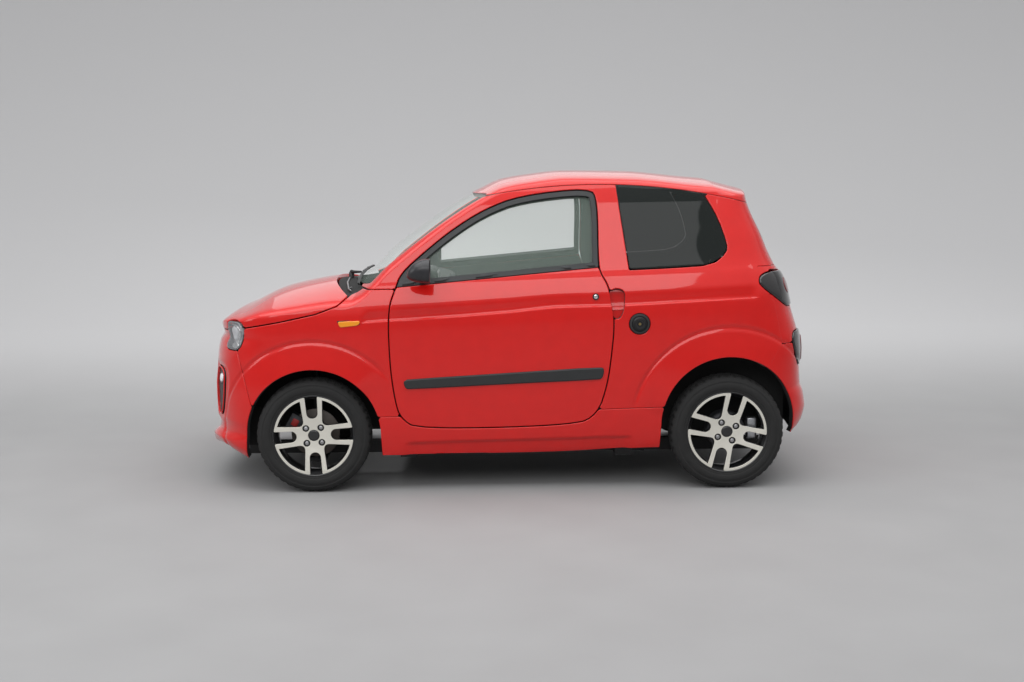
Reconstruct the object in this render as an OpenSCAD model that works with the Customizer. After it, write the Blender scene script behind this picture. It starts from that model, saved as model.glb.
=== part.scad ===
// Two-seat microcar: front engine, two hinged doors, lifting rear glass.
// X runs to the tail, Y to the car's right, Z up; the ground is z = 0.

/* [Overall] */
// length from the bumper lip to the tail
body_l = 2980; // [2800:10:3100]
// width over the wheel arch flares, without mirrors
body_w = 1490; // [1440:10:1540]
// height of the roof crown
body_h = 1510; // [1460:5:1560]
// height of the underside of the sills
sill_z = 175; // [150:5:200]
// thickness of a single outer panel
panel_t = 26; // [15:1:30]
// thickness of a door or a body side wall
wall_t = 52; // [40:1:60]
// thickness of the window glass
glass_t = 6; // [4:1:10]
// seam between fixed panels
seam = 0.6; // [0.3:0.1:0.9]
// shut gap around a door or lid
shut_gap = 9; // [8:0.5:10]

/* [Wheels] */
// distance from the nose to the front axle
front_overhang = 571; // [540:1:600]
// distance between the axles
wheelbase = 1958; // [1900:2:2000]
// tyre outer diameter
tyre_d = 544; // [530:2:556]
// tyre width
tyre_w = 145; // [135:1:155]
// rim flange diameter
rim_d = 386; // [370:1:390]
// distance between the tyre centre planes
track = 1295; // [1270:1:1310]
// brake disc diameter
disc_d = 230; // [200:2:240]
// front wheel arch opening radius
arch_r = 318; // [314:1:326]
// width of the raised flare around an arch
flare_w = 128; // [100:1:150]
// inclination of the steering axis
king_tilt = 11; // [9:0.5:13]

/* [Doors and glass] */
// foremost edge of the door
door_x0 = -558; // [-570:1:-545]
// rearmost edge of the door
door_x1 = 502; // [490:1:515]
// lower edge of the door
door_z0 = 304; // [295:1:320]
// belt height at the middle of the car
belt_z = 1016; // [1005:1:1030]
// rise of the belt line per mm of length
belt_rise = 0.088; // [0.07:0.002:0.1]
// width of the black frame around the door glass
frame_w = 34; // [26:1:40]
// radius of the door hinge pins
hinge_r = 7; // [5:0.5:9]
// inward lean of the door hinge axis
hinge_lean = 1.5; // [1:0.5:2.5]

/* [Cabin] */
// height of the seat cushion's top
seat_z = 520; // [490:5:550]
// width of one seat
seat_w = 430; // [400:5:450]
// diameter of the steering wheel
steer_d = 350; // [330:2:370]
// tilt of the steering column from level
column_tilt = 28; // [24:1:32]

/* [Hidden] */
half_l = body_l / 2;
half_w = body_w / 2;
front_x = front_overhang - half_l;
rear_x = front_x + wheelbase;
axle_z = tyre_d / 2;
wheel_y = track / 2;
// rear arch: a little wider and higher than the wheel
rear_arch_x = rear_x + 6;
rear_arch_z = axle_z + 42;
rear_arch_r = arch_r + 2;
arches = [[front_x, axle_z, arch_r], [rear_arch_x, rear_arch_z, rear_arch_r]];
pin_gap = 0.5;
free_gap = 6;
$fn = 32;

// upper outline: share of half length, share of height, crown drop at the edge
top_rows = [
  [-1.00, 0.502, 14], [-0.96, 0.540, 22], [-0.885, 0.568, 34], [-0.77, 0.609, 46],
  [-0.66, 0.634, 54], [-0.575, 0.647, 56], [-0.502, 0.654, 60], [-0.365, 0.765, 70],
  [-0.15, 0.909, 62], [-0.085, 0.942, 56], [-0.01, 0.974, 52], [0.06, 0.986, 50],
  [0.20, 1.000, 50], [0.40, 0.997, 50], [0.60, 0.979, 50], [1.00, 0.943, 50]];
// side section: height over the rising belt, half width as a share
side_rows = [
  [120, 0.850], [175, 0.930], [240, 0.953], [340, 0.968], [480, 0.978], [640, 0.984],
  [790, 0.985], [868, 0.980], [880, 0.984], [930, 0.966], [1000, 0.937], [1016, 0.928],
  [1200, 0.850], [1390, 0.770], [1500, 0.705]];
// nose and tail profile: height, set-back from the foremost or rearmost point
nose_rows = [
  [132, 100], [160, 60], [207, 14], [238, 10], [280, 46], [300, 46], [340, 34], [470, 32], [560, 40],
  [694, 60], [734, 80], [800, 66]];
tail_rows = [
  [160, 90], [254, 70], [282, 42], [333, 18], [372, 12], [440, 24], [480, 40], [641, 40], [703, 46],
  [860, 96], [941, 116], [1004, 140], [1060, 180], [1200, 240], [1372, 316], [1430, 326]];
nose_x = -half_l + 560;
nose_n = 3;
tail_x = half_l - 600;
tail_n = 4.5;
nose_reach = 420;
tail_reach = 500;
edge_r = 80;
flare_out = 0.016 * half_w;
side_rise = 0.04;
roof_share = 0.8;

function clamp(v, a, b) = min(b, max(a, v));
function step01(t) = let (c = clamp(t, 0, 1)) c * c * (3 - 2 * c);
function smin(a, b, r) = let (h = max(r - abs(a - b), 0) / r) min(a, b) - h * h * r / 4;
function bulge(t, n) = pow(max(0, 1 - pow(clamp(t, 0, 1), n)), 1 / n);
function plan_share(x) =
  x < nose_x ? bulge((nose_x - x) / (nose_x + half_l), nose_n)
  : bulge((x - tail_x) / (half_l - tail_x), tail_n);
function top_z(x) = body_h * lookup(x / half_l, [for (r = top_rows) [r[0], r[1]]]);
function crown(x) = lookup(x / half_l, [for (r = top_rows) [r[0], r[2]]]);
// lower edge: rises to the tail, hangs lower as a chin ahead of the front wheels and rises to the nose
sill_rise = 24;
tail_rise = 52;
chin_drop = 42;
nose_rise = 72;
function under_z(x) =
  sill_z + sill_rise * step01((x - 200) / 500) + tail_rise * step01((x - 1150) / 150)
  - chin_drop * step01((-x - 900) / 150) + nose_rise * step01((-x - 1290) / 200);
function belt_at(x) = belt_z + belt_rise * x;
function side_y(x, z) = plan_share(x) * half_w * lookup(z - side_rise * x, side_rows);
function crown_y(x, z) = roof_share * half_w * sqrt(max(0, top_z(x) - z) / crown(x));
function skin_y(x, z) = max(2, smin(side_y(x, z), crown_y(x, z), edge_r));
function nose_back(x, z) = lookup(z, nose_rows) * (1 - step01((x + half_l) / nose_reach));
function tail_back(x, z) = lookup(z, tail_rows) * clamp((x - half_l + tail_reach) / tail_reach, 0, 1);

// the outlines below are drawn at this size, and follow the overall one
drawn = [2980, 1490, 1510];
kx = body_l / drawn[0];
ky = body_w / drawn[1];
kz = body_h / drawn[2];

// lengthwise stations crowd at nose and tail
end_steps = [0, 6, 28, 74];
end_zone = 150;
mid = 15;
// heights of the points of a section, close at the roof and at the lower edge
steps_up = [1, 0.93, 0.86, 0.78, 0.69, 0.59, 0.48, 0.36, 0.24, 0.12, 0];
rows = len(steps_up) - 1;
xs = [
  for (d = end_steps) d - half_l,
  for (i = [0:1:mid]) -half_l + end_zone + i * (body_l - 2 * end_zone) / mid,
  for (i = [len(end_steps) - 1:-1:0]) half_l - end_steps[i]];

function skin_point(x, k, s, t) =
  let (z0 = under_z(x), z1 = top_z(x), v = steps_up[k], z = z1 - (z1 - z0) * v * v)
  let (y = k == rows ? 0 : skin_y(x, z), m = (z0 + z1) / 2)
  [(x + nose_back(x, z) - tail_back(x, z)) * (1 - t / half_l),
   s * y * (1 - t / half_w),
   m + (z - m) * (1 - 2 * t / (z1 - z0))];

// closed loft of the whole body, set in by t
module body(t) {
  n = 2 * rows + 1;
  pts = [for (x = xs)
    for (j = [0:1:n - 1])
      j <= rows ? skin_point(x, j, -1, t) : skin_point(x, n - 1 - j, 1, t)];
  m = len(xs);
  skin = [for (i = [0:1:m - 2]) for (j = [0:1:n - 1])
    let (a = i * n + j, b = i * n + (j + 1) % n)
    each [[a, b, b + n], [a, b + n, a + n]]];
  caps = [for (j = [0:1:rows - 1])
    let (a = j, b = j + 1, c = n - 2 - j, d = n - 1 - j, e = (m - 1) * n)
    each concat(
      b == c ? [[a, d, b]] : [[a, d, c], [a, c, b]],
      b == c ? [[a + e, b + e, d + e]] : [[a + e, c + e, d + e], [a + e, b + e, c + e]])];
  polyhedron(points = pts, faces = concat(skin, caps));
}

module shell(t0, t1) {
  difference() {
    body(t0);
    body(t1);
  }
}
// outer panel with the raised bands around the wheel arches, on the sides only
flare_y = 480;
module panel(t) {
  difference() {
    union() {
      body(0);
      difference() {
        intersection() {
          body(-flare_out);
          for (a = arches) along_y([a[0], 0, a[1]], a[2] + flare_w, 3 * half_w, $fn = 40);
        }
        cube([2 * body_l, 2 * flare_y, 2 * body_h], center = true);
      }
    }
    body(t);
  }
}

// side view outline swept across the car, y from y0 to y1
module across(y0, y1) {
  translate([0, y1, 0])
    rotate([90, 0, 0])
      linear_extrude(y1 - y0)
        scale([kx, kz]) children();
}
module left_half() { across(-half_w - 50, -1) children(); }
module full_width() { across(-half_w - 50, half_w + 50) children(); }
module rounded(r) {
  offset(r = r, $fn = 12) offset(delta = -2 * r) offset(r = r, $fn = 12) children();
}
module right_of(side) {
  if (side > 0) mirror([0, 1, 0]) children();
  else children();
}
module along_y(p, r, h) {
  translate(p) rotate([90, 0, 0]) cylinder(r = r, h = h, center = true);
}

// side view outlines
module door_outline() {
  rounded(24) polygon([
    [door_x0 + 62, door_z0], [door_x1 - 96, door_z0], [door_x1 - 34, 420], [door_x1 - 12, 654],
    [door_x1, 800], [door_x1 - 20, 912], [432, belt_at(432) - 30], [432, 1426], [64, 1394],
    [-102, 1331], [-253, 1240], [door_x0 + 40, belt_at(door_x0) + 8], [door_x0 + 8, 892],
    [door_x0, 785], [door_x0 + 12, 540], [door_x0 + 30, 400]]);
}
module above_belt(d) {
  polygon([for (x = [-1200, 1600]) [x, belt_at(x) + d], [1600, 1700], [-1200, 1700]]);
}
module door_window() {
  offset(r = 14, $fn = 12) offset(delta = -14 - frame_w)
    intersection() {
      door_outline();
      above_belt(-26);
    }
}
module quarter_window() {
  rounded(20) polygon([[520, 1426], [925, 1400], [1000, 1277], [1036, 1130], [960, 1064], [572, 1046]]);
}
roof_seam_z = 1442;
roof_seam_x = 433;
roof_seam_bow = 1.75e-4;
function roof_seam(x) = roof_seam_z - roof_seam_bow * pow(x - roof_seam_x, 2);
module above_roof_seam() {
  polygon([for (x = [-330:50:1370]) [x, roof_seam(x)], [1370, 1700], [-330, 1700]]);
}
// lower edge of the hood, from the nose to the windscreen corner
hood_line = [[-half_l - 20, 744], [-1390, 752], [-1220, 786], [-1051, 817], [-896, 850], [-797, 887],
  [-738, 936], [-716, 975]];
hood_curve_r = 1782;
hood_rear_x = kx * -860;
module hood_side_view() { polygon(concat(hood_line, [[-716, 1200], [-half_l - 20, 1200]])); }
module ahead_of_cowl(d) {
  difference() {
    translate([-2 * half_l, -body_w, 0]) cube([2 * half_l, 2 * body_w, 2 * body_h]);
    translate([hood_rear_x + hood_curve_r, 0, -1])
      cylinder(r = hood_curve_r + d, h = 2 * body_h, $fn = 180);
  }
}
cowl_w = 105;
module behind_cowl(d) {
  translate([hood_rear_x + hood_curve_r, 0, 0])
    cylinder(r = hood_curve_r - cowl_w + d, h = 2 * body_h, $fn = 180);
}
split_top_x = -1284;
split_low_x = -1205;
module ahead_of_split(d) {
  polygon([[-half_l - 60, 0], [split_low_x - d, 0], [split_low_x - d, 400], [split_top_x - d, 690],
    [split_top_x - d, 1100], [-half_l - 60, 1100]]);
}
// rear of this line are the tail panel and the rear bumper
tail_split_x = 1215;
bumper_top_z = 690;
module behind_split(d) {
  polygon([[tail_split_x + d, 0], [tail_split_x + d, 560], [1300 + d, bumper_top_z], [1262 + d, 880],
    [1180 + d, 1000], [1180 + d, 1056], [1700, 1056], [1700, 0]]);
}
// round above the centre, with straight sides below it
module arch_cuts(extra) {
  for (a = arches) {
    along_y([a[0], 0, a[1]], a[2] + extra, 3 * half_w, $fn = 48);
    translate([a[0] - a[2] - extra, -body_w, -1]) cube([2 * (a[2] + extra), 2 * body_w, a[1] + 1]);
  }
}
// hatch glass seen from behind
hatch_z0 = 1066;
hatch_z1 = 1376;
hatch_w0 = 1080;
hatch_w1 = 990;
module hatch_area(d) {
  translate([kx * 1000, 0, 0])
    front_view(700)
      even(40, d)
        polygon([[-hatch_w0 / 2, hatch_z0], [hatch_w0 / 2, hatch_z0], [hatch_w1 / 2, hatch_z1],
          [-hatch_w1 / 2, hatch_z1]]);
}
// outline in front view swept rearward by l
module front_view(l) {
  rotate([90, 0, 90])
    linear_extrude(l)
      scale([ky, kz]) children();
}
// outline with rounded corners, the same on both sides, grown by d
module even(r, d) {
  offset(delta = d) intersection() {
    offset(r = r, $fn = 16) offset(delta = -r) children();
    mirror([1, 0]) offset(r = r, $fn = 16) offset(delta = -r) children();
  }
}
screen_z0 = 968;
screen_z1 = 1392;
screen_w0 = 1232;
screen_w1 = 1048;
module windscreen_area(d) {
  translate([kx * -1000, 0, 0])
    front_view(kx * 860)
      even(50, d)
        polygon([[-screen_w0 / 2, screen_z0], [screen_w0 / 2, screen_z0], [screen_w1 / 2, screen_z1],
          [-screen_w1 / 2, screen_z1]]);
}
// lamps: inner edge from the middle of the car, outline from the side; they wrap round the corners
lamp_end = half_l + 100;
head_lamp = [474, [[-lamp_end, 812], [-1290, 812], [-1256, 802], [-1240, 762], [-1246, 716], [-1264, 684],
  [-1304, 667], [-lamp_end, 667]]];
drive_lamp = [408, [[-lamp_end, 586], [-1384, 584], [-1358, 568], [-1352, 540], [-1358, 460], [-1371, 371],
  [-1388, 336], [-lamp_end, 334]]];
tail_lamp = [470, [[1182, 994], [1198, 1020], [1274, 1040], [lamp_end, 1042], [lamp_end, 848], [1345, 852],
  [1276, 902], [1190, 966]]];
low_lamp = [440, [[1356, 716], [1374, 747], [lamp_end, 752], [lamp_end, 552], [1406, 556], [1372, 642]]];
module lamp_bore(l, d) {
  across(-half_w - 50, -ky * l[0] + d) offset(delta = d) polygon(l[1]);
}
module lamp_pair(a, b, t) {
  resize([0, 0, 0])
    for (l = [a, b])
      intersection() {
        shell(4, t);
        lamp_bore(l, 0);
      }
}
module lamp_cuts(d) {
  for (s = [-1, 1]) right_of(s)
    for (l = [head_lamp, drive_lamp, tail_lamp, low_lamp]) lamp_bore(l, d);
}
// openings in the front bumper: height, half height, half width
mouths = [[318, 62, 330], [640, 26, 300]];
module mouth(m, d) {
  translate([-half_l - 10, 0, 0])
    front_view(300)
      translate([0, m[0]]) mouth_area(m, d);
}
module mouth_area(m, d) {
  square([2 * (m[2] - m[1]), 2 * (m[1] + d)], center = true);
  for (s = [-1, 1]) translate([s * (m[2] - m[1]), 0]) circle(r = m[1] + d, $fn = 20);
}

// outer panels
module door(side) {
  color("red") right_of(side) resize([0, 0, 0]) difference() {
    intersection() {
      shell(0, wall_t);
      left_half() offset(delta = -shut_gap) door_outline();
    }
    left_half() door_window();
    left_half() translate([432 - shut_gap - 6, belt_at(432)]) square(600);
    hinge_slots();
  }
}
module door_glass(side) {
  color("lightblue") right_of(side) resize([0, 0, 0]) intersection() {
    shell(20, 20 + glass_t);
    left_half() offset(delta = -seam) door_window();
  }
}
// hinge pins stand on a leaning axis behind the door's leading edge
hinge_x = kx * (door_x0 + 80);
hinge_y = -0.981 * half_w + 19;
hinge_z = 600;
hinge_heights = [500, 800];
hinge_h = 60;
leaf_h = 24;
post_y = ky * 600;
module on_hinges() {
  for (z = hinge_heights)
    translate([hinge_x, hinge_y, hinge_z])
      rotate([-hinge_lean, 0, 0])
        translate([0, 0, z - hinge_z])
          children();
}
// bore for the pin, and room for the leaf to swing through
module hinge_slots() {
  on_hinges() {
    cylinder(r = hinge_r + pin_gap, h = hinge_h);
    translate([-120, -hinge_r - 2, -leaf_h - 2 * free_gap])
      cube([120 + hinge_r + free_gap, 200, leaf_h + 2 * free_gap]);
  }
}
module hinge_pins() {
  on_hinges() translate([0, 0, -leaf_h - free_gap]) {
    cylinder(r = hinge_r, h = leaf_h + free_gap + hinge_h - 4);
    linear_extrude(leaf_h) {
      translate([-hinge_r, 0]) square([2 * hinge_r, -hinge_y - post_y]);
      translate([fire_x - hinge_x, -hinge_y - post_y - 14]) square([hinge_x - fire_x + hinge_r, 24]);
    }
  }
}
// seam between the sill and the panels above it
sill_x = [-500, 800];
sill_seam_z = [360, 396];
module below_sill_seam(d) {
  polygon([[-720, 0], [sill_x[1], 0], [sill_x[1], sill_seam_z[1] + d], [sill_x[0], sill_seam_z[0] + d],
    [-720, sill_seam_z[0] + d]]);
}
pillar_x = -705;
pillar_z = 962;
module side_panel(side) {
  color("red") right_of(side) resize([0, 0, 0]) difference() {
    intersection() {
      panel(wall_t);
      left_half() difference() {
        polygon([[pillar_x, pillar_z], [sill_x[0], pillar_z], [sill_x[0], 0], [1240, 0], [1240, 1430],
          [pillar_x, 1430]]);
        below_sill_seam(seam / 2);
        above_roof_seam();
        door_outline();
        quarter_window();
        offset(delta = seam) behind_split(0);
      }
    }
    arch_cuts(0);
    windscreen_area(seam);
    cube([2 * body_l, 2 * (cowl_y + seam), 2 * kz * 990], center = true);
    hatch_area(shut_gap);
    lamp_cuts(seam);
    if (side < 0) along_y([cap_x, -half_w, cap_z], cap_r + seam, 200);
  }
}
module quarter_glass(side) {
  color("dimgray") right_of(side) resize([0, 0, 0]) intersection() {
    shell(6, 6 + glass_t);
    left_half() offset(delta = -seam) quarter_window();
  }
}
module roof_panel() {
  color("red") resize([0, 0, 0]) {
    difference() {
      intersection() {
        shell(0, panel_t);
        full_width() offset(delta = -seam) above_roof_seam();
      }
      windscreen_area(seam);
      hatch_area(shut_gap);
      at_hatch_pins() cylinder(r = 22, h = hatch_lug_w + 10, center = true, $fn = 16);
      at_hatch_pins() cylinder(r = lid_pin_r + seam / 2, h = hatch_lug_w + 40, center = true, $fn = 24);
    }
  }
}
// pins that carry the hood and the rear glass
module lid_pins() {
  color("gray") {
    hood_pins(lid_pin_r);
    at_hatch_pins() cylinder(r = lid_pin_r, h = hatch_lug_w + 38, center = true);
  }
}
module front_wing(side) {
  color("red") right_of(side) resize([0, 0, 0]) difference() {
    intersection() {
      panel(panel_t);
      across(-half_w - 50, -cowl_y - seam) difference() {
        polygon([[-1320, 0], [-400, 0], [-400, pillar_z - seam], [-1320, pillar_z - seam]]);
        translate([-900, 0]) square([900, sill_seam_z[0] + seam]);
        offset(delta = seam) ahead_of_split(0);
        offset(delta = shut_gap) hood_side_view();
        door_outline();
      }
    }
    arch_cuts(0);
    windscreen_area(seam);
    lamp_cuts(seam);
  }
}
module front_bumper() {
  color("red") resize([0, 0, 0]) {
    difference() {
      union() {
        bumper_skin();
        hood_ears(0);
      }
      hood_pins(lid_pin_r + seam / 2);
    }
  }
}
// the bumper is open below, between the rails: set-back, half width, height
chin_open = [100, 480, 235];
module bumper_skin() {
  difference() {
    intersection() {
      panel(panel_t);
      full_width() difference() {
        ahead_of_split(0);
        offset(delta = shut_gap) hood_side_view();
      }
    }
    arch_cuts(0);
    lamp_cuts(seam);
    for (m = mouths) mouth(m, 0);
    hood_lug_room();
    translate([-half_l + chin_open[0], -chin_open[1], 0]) cube([half_l, 2 * chin_open[1], chin_open[2]]);
  }
}
grille_x = -half_l + 62;
grille_t = 14;
slat_w = 14;
module grille() {
  color("black") for (m = mouths)
    translate([grille_x, 0, 0]) front_view(grille_t) translate([0, m[0]]) intersection() {
      mouth_area(m, -1.4 * seam);
      union() {
        for (z = [-40:40:40]) translate([0, z]) square([body_w, slat_w], center = true);
        for (y = [-200:200:200]) translate([y, 0]) square([slat_w, body_h], center = true);
      }
    }
}
module hood() {
  color("red") resize([0, 0, 0]) difference() {
    union() {
      hood_skin();
      hood_lugs();
    }
    hood_pins(lid_pin_r + pin_gap);
  }
}
module hood_skin() {
  difference() {
    intersection() {
      shell(0, panel_t);
      full_width() hood_side_view();
      ahead_of_cowl(0);
    }
    lamp_cuts(free_gap);
    hood_ears(free_gap);
  }
}
// the hood tips forward on two pins at the nose
hood_pin = [kx * -1404, kz * 735];
hood_pin_y = ky * 150;
lid_pin_r = 4;
lug_w = 30;
module hood_ears(gap) {
  for (s = [-1, 1]) for (d = [-1, 1])
    translate([hood_pin[0] - 5 - gap, s * hood_pin_y + d * (lug_w / 2 + 8) - 6 - gap, hood_pin[1] - 40])
      cube([28 + 2 * gap, 12 + 2 * gap, 48 + gap]);
}
module hood_lugs() {
  for (s = [-1, 1])
    translate([hood_pin[0] - 5, s * hood_pin_y - lug_w / 2, hood_pin[1] - 7]) cube([26, lug_w, 30]);
}
module hood_lug_room() {
  for (s = [-1, 1])
    translate([hood_pin[0] - 30, s * hood_pin_y - lug_w / 2 - 2, hood_pin[1] - 34]) cube([90, lug_w + 4, 60]);
}
module hood_pins(r) {
  for (s = [-1, 1]) along_y([hood_pin[0], s * hood_pin_y, hood_pin[1]], r, lug_w + 24);
}
cowl_drop = 8;
cowl_in = 12;
screen_drop = 3;
cowl_y = ky * 606;
module cowl_panel() {
  color("black") resize([0, 0, 0]) difference() {
    intersection() {
      shell(cowl_drop, cowl_drop + panel_t);
      full_width() polygon([[-900, 900], [-600, 900], [-600, 1100], [-900, 1100]]);
      cube([2 * half_l, 2 * (cowl_y - cowl_in), 4 * body_h], center = true);
    }
    ahead_of_cowl(-shut_gap);
    behind_cowl(seam);
  }
}
module windscreen() {
  color("lightblue") resize([0, 0, 0]) intersection() {
    shell(screen_drop, screen_drop + glass_t);
    windscreen_area(0);
    behind_cowl(0);
  }
}
module tail_panel() {
  color("red") resize([0, 0, 0]) difference() {
    intersection() {
      shell(0, panel_t);
      full_width() difference() {
        behind_split(0);
        translate([0, -1]) square([2000, bumper_top_z + 1]);
      }
    }
    hatch_area(shut_gap);
    lamp_cuts(seam);
  }
}
module rear_bumper() {
  color("red") resize([0, 0, 0]) difference() {
    intersection() {
      panel(panel_t);
      full_width() intersection() {
        behind_split(0);
        translate([0, -1]) square([2000, bumper_top_z + 1 - seam]);
      }
    }
    arch_cuts(0);
    lamp_cuts(seam);
  }
}
module hatch_glass() {
  color("dimgray") resize([0, 0, 0]) difference() {
    union() {
      intersection() {
        shell(2, 2 + glass_t);
        hatch_area(0);
      }
      at_hatch_pins() linear_extrude(hatch_lug_w, center = true) {
        circle(r = 9, $fn = 16);
        translate([-4, -26]) square([12, 26]);
      }
    }
    at_hatch_pins() cylinder(r = lid_pin_r + pin_gap, h = 100, center = true, $fn = 24);
  }
}
// the rear glass lifts on two pins set in the roof's rear edge
hatch_pin = [kx * 1160, kz * 1392];
hatch_pin_y = ky * 260;
hatch_lug_w = 40;
module at_hatch_pins() {
  for (s = [-1, 1]) translate([hatch_pin[0], s * hatch_pin_y, hatch_pin[1]]) rotate([90, 0, 0]) children();
}
module sill(side) {
  color("red") right_of(side) resize([0, 0, 0]) difference() {
    intersection() {
      panel(wall_t);
      left_half() difference() {
        below_sill_seam(0);
        door_outline();
      }
    }
    arch_cuts(0);
    translate([-half_l, -sill_y, 0]) cube([body_l, half_w, 600]);
  }
}
module front_lamps(side) { color("silver") right_of(side) lamp_pair(head_lamp, drive_lamp, 46); }
module rear_lamps(side) { color("maroon") right_of(side) lamp_pair(tail_lamp, low_lamp, 46); }

// under the body
rail_y = 310;
rail_w = 50;
rail_h = 60;
rail_z = sill_z - seam - rail_h;
floor_z = sill_z;
floor_t = 24;
rail_x = [-half_l + 204, half_l - 210];
beams = [rail_x[0], front_x - 121, front_x + 139, 420, rear_x + 61];
beam_w = 40;
jack_x = [-480, 560];
jack_pad = [80, 240, 40];
tow_r = 9;
tow_l = 90;
module chassis_rails() {
  color("gray") difference() {
    union() {
      for (s = [-1, 1]) {
        translate([rail_x[0], s * rail_y - rail_w / 2, rail_z]) cube([rail_x[1] - rail_x[0], rail_w, rail_h]);
        for (x = jack_x)
          translate([x - jack_pad[0] / 2, s > 0 ? rail_y : -rail_y - jack_pad[1], rail_z + rail_h])
            mirror([0, 0, 1]) cube(jack_pad);
      }
      for (x = beams) translate([x, -rail_y, rail_z]) cube([beam_w, 2 * rail_y, rail_h]);
    }
    for (s = [-1, 1])
      translate([rail_x[0] - 1, s * rail_y, rail_z + rail_h / 2])
        rotate([0, 90, 0]) cylinder(r = tow_r, h = tow_l + 1);
  }
}
liner_t = 6;
liner_r = [arch_r + 26, rear_arch_r + 22];
// inner and outer edge of a liner, and its rearmost point
liner_in = [412, 540];
liner_out = [616, 606];
liner_start = [kx * -1236, 0];
liner_end = [0, kx * 1340];
liner_low = sill_z + 84;
module liner_space(i, extra) {
  for (s = [-1, 1])
    along_y([arches[i][0], s * (liner_in[i] + half_w) / 2, arches[i][1]], liner_r[i] + extra,
      half_w - liner_in[i] + 2 * extra, $fn = 64);
}
module arch_liners(i) {
  color("black") difference() {
    intersection() {
      liner_space(i, liner_t);
      translate([liner_start[i], -liner_out[i], liner_low])
        cube([liner_end[i] - liner_start[i], 2 * liner_out[i], body_h]);
    }
    liner_space(i, 0);
    if (i == 0) for (s = [-1, 1]) king_frame(s) cylinder(r = strut_r + pin_gap, h = 900);
    else along_y([rear_x, 0, axle_z], axle_hole_r, 2 * half_w);
  }
}
axle_hole_r = 64;
fire_x = -548;
fire_h = 650;
sill_y = half_w - 170;
boot_x = 470;
boot_z = 560;
module door_posts() {
  for (s = [-1, 1]) right_of(s) hinge_pins();
}
boot_y = 620;
boot_end = 1300;
module floor_pan() {
  y = sill_y - seam;
  color("dimgray") difference() {
    union() {
      translate([fire_x, -y, floor_z]) cube([boot_x - fire_x, 2 * y, floor_t]);
      translate([boot_x - floor_t, -y, floor_z]) cube([floor_t, 2 * y, boot_z - floor_z]);
      translate([fire_x, -y, floor_z]) cube([floor_t, 2 * y, 2 * wall_t]);
      translate([fire_x, -post_y, floor_z + 2 * wall_t]) cube([floor_t, 2 * post_y, fire_h]);
      translate([boot_x - floor_t, -boot_y, boot_z - floor_t])
        cube([boot_end - boot_x + floor_t, 2 * boot_y, floor_t]);
      door_posts();
    }
    for (i = [0, 1]) liner_space(i, liner_t + seam);
  }
}
engine = [-1160, 0, 450];
engine_size = [420, 500, 400];
module engine_block() {
  color("silver") {
    translate(engine - engine_size / 2 + [210, 0, 0]) cube(engine_size);
    for (s = [-1, 1])
      translate([-1020, s * 225, floor_z]) cylinder(r = 22, h = engine[2] - engine_size[2] / 2 - floor_z);
  }
}

// front suspension: the strut stands on the steering axis
king_y = wheel_y - 71;
strut_r = 15;
strut_h = 500;
ball_r = 10;
ball_drop = 112;
arm_over = 30;
arm_z = axle_z - ball_drop - 32;
sleeve_r = 24;
sleeve_up = 110;
module king_frame(s) {
  translate([front_x, s * king_y, axle_z]) rotate([s * king_tilt, 0, 0]) children();
}
module front_suspension() {
  color("dimgray") {
    for (s = [-1, 1]) {
      king_frame(s) {
        translate([0, 0, sleeve_up - 60]) cylinder(r = strut_r, h = strut_h - sleeve_up);
        translate([0, 0, sleeve_up + 180]) cylinder(r = strut_r + 22, h = 18);
        translate([0, 0, -ball_drop - 24]) cylinder(r = ball_r, h = ball_drop - 40);
      }
      translate([front_x - 45, s > 0 ? rail_y + rail_w / 2 : -king_y - arm_over, arm_z])
        cube([90, king_y + arm_over - rail_y - rail_w / 2, 20]);
    }
    along_y([front_x + 165, 0, floor_z + 26], 26, 700);
  }
}
stub_r = 14;
disc_y = wheel_y - 26;
disc_t = 10;
caliper_a = 210;
module knuckle(s) {
  color("gray") difference() {
    union() {
      king_frame(s) translate([0, 0, -70]) cylinder(r = sleeve_r, h = 70 + sleeve_up);
      along_y([front_x, s * (king_y + wheel_y + 20) / 2, axle_z], stub_r, wheel_y + 20 - king_y);
      translate([front_x, s * king_y, axle_z])
        rotate([0, caliper_a, 0])
          translate([0, -8 + s * 8, -14]) cube([130, 16, 28]);
      difference() {
        translate([front_x, s * disc_y, axle_z])
          rotate([0, caliper_a, 0])
            translate([76, -30, -36]) cube([64, 60, 72]);
        along_y([front_x, s * disc_y, axle_z], disc_d / 2 + 3, disc_t + 8);
      }
    }
    king_frame(s) {
      translate([0, 0, sleeve_up - 62]) cylinder(r = strut_r + pin_gap, h = 100);
      translate([0, 0, -71]) cylinder(r = ball_r + pin_gap, h = 36);
    }
  }
}

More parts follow.
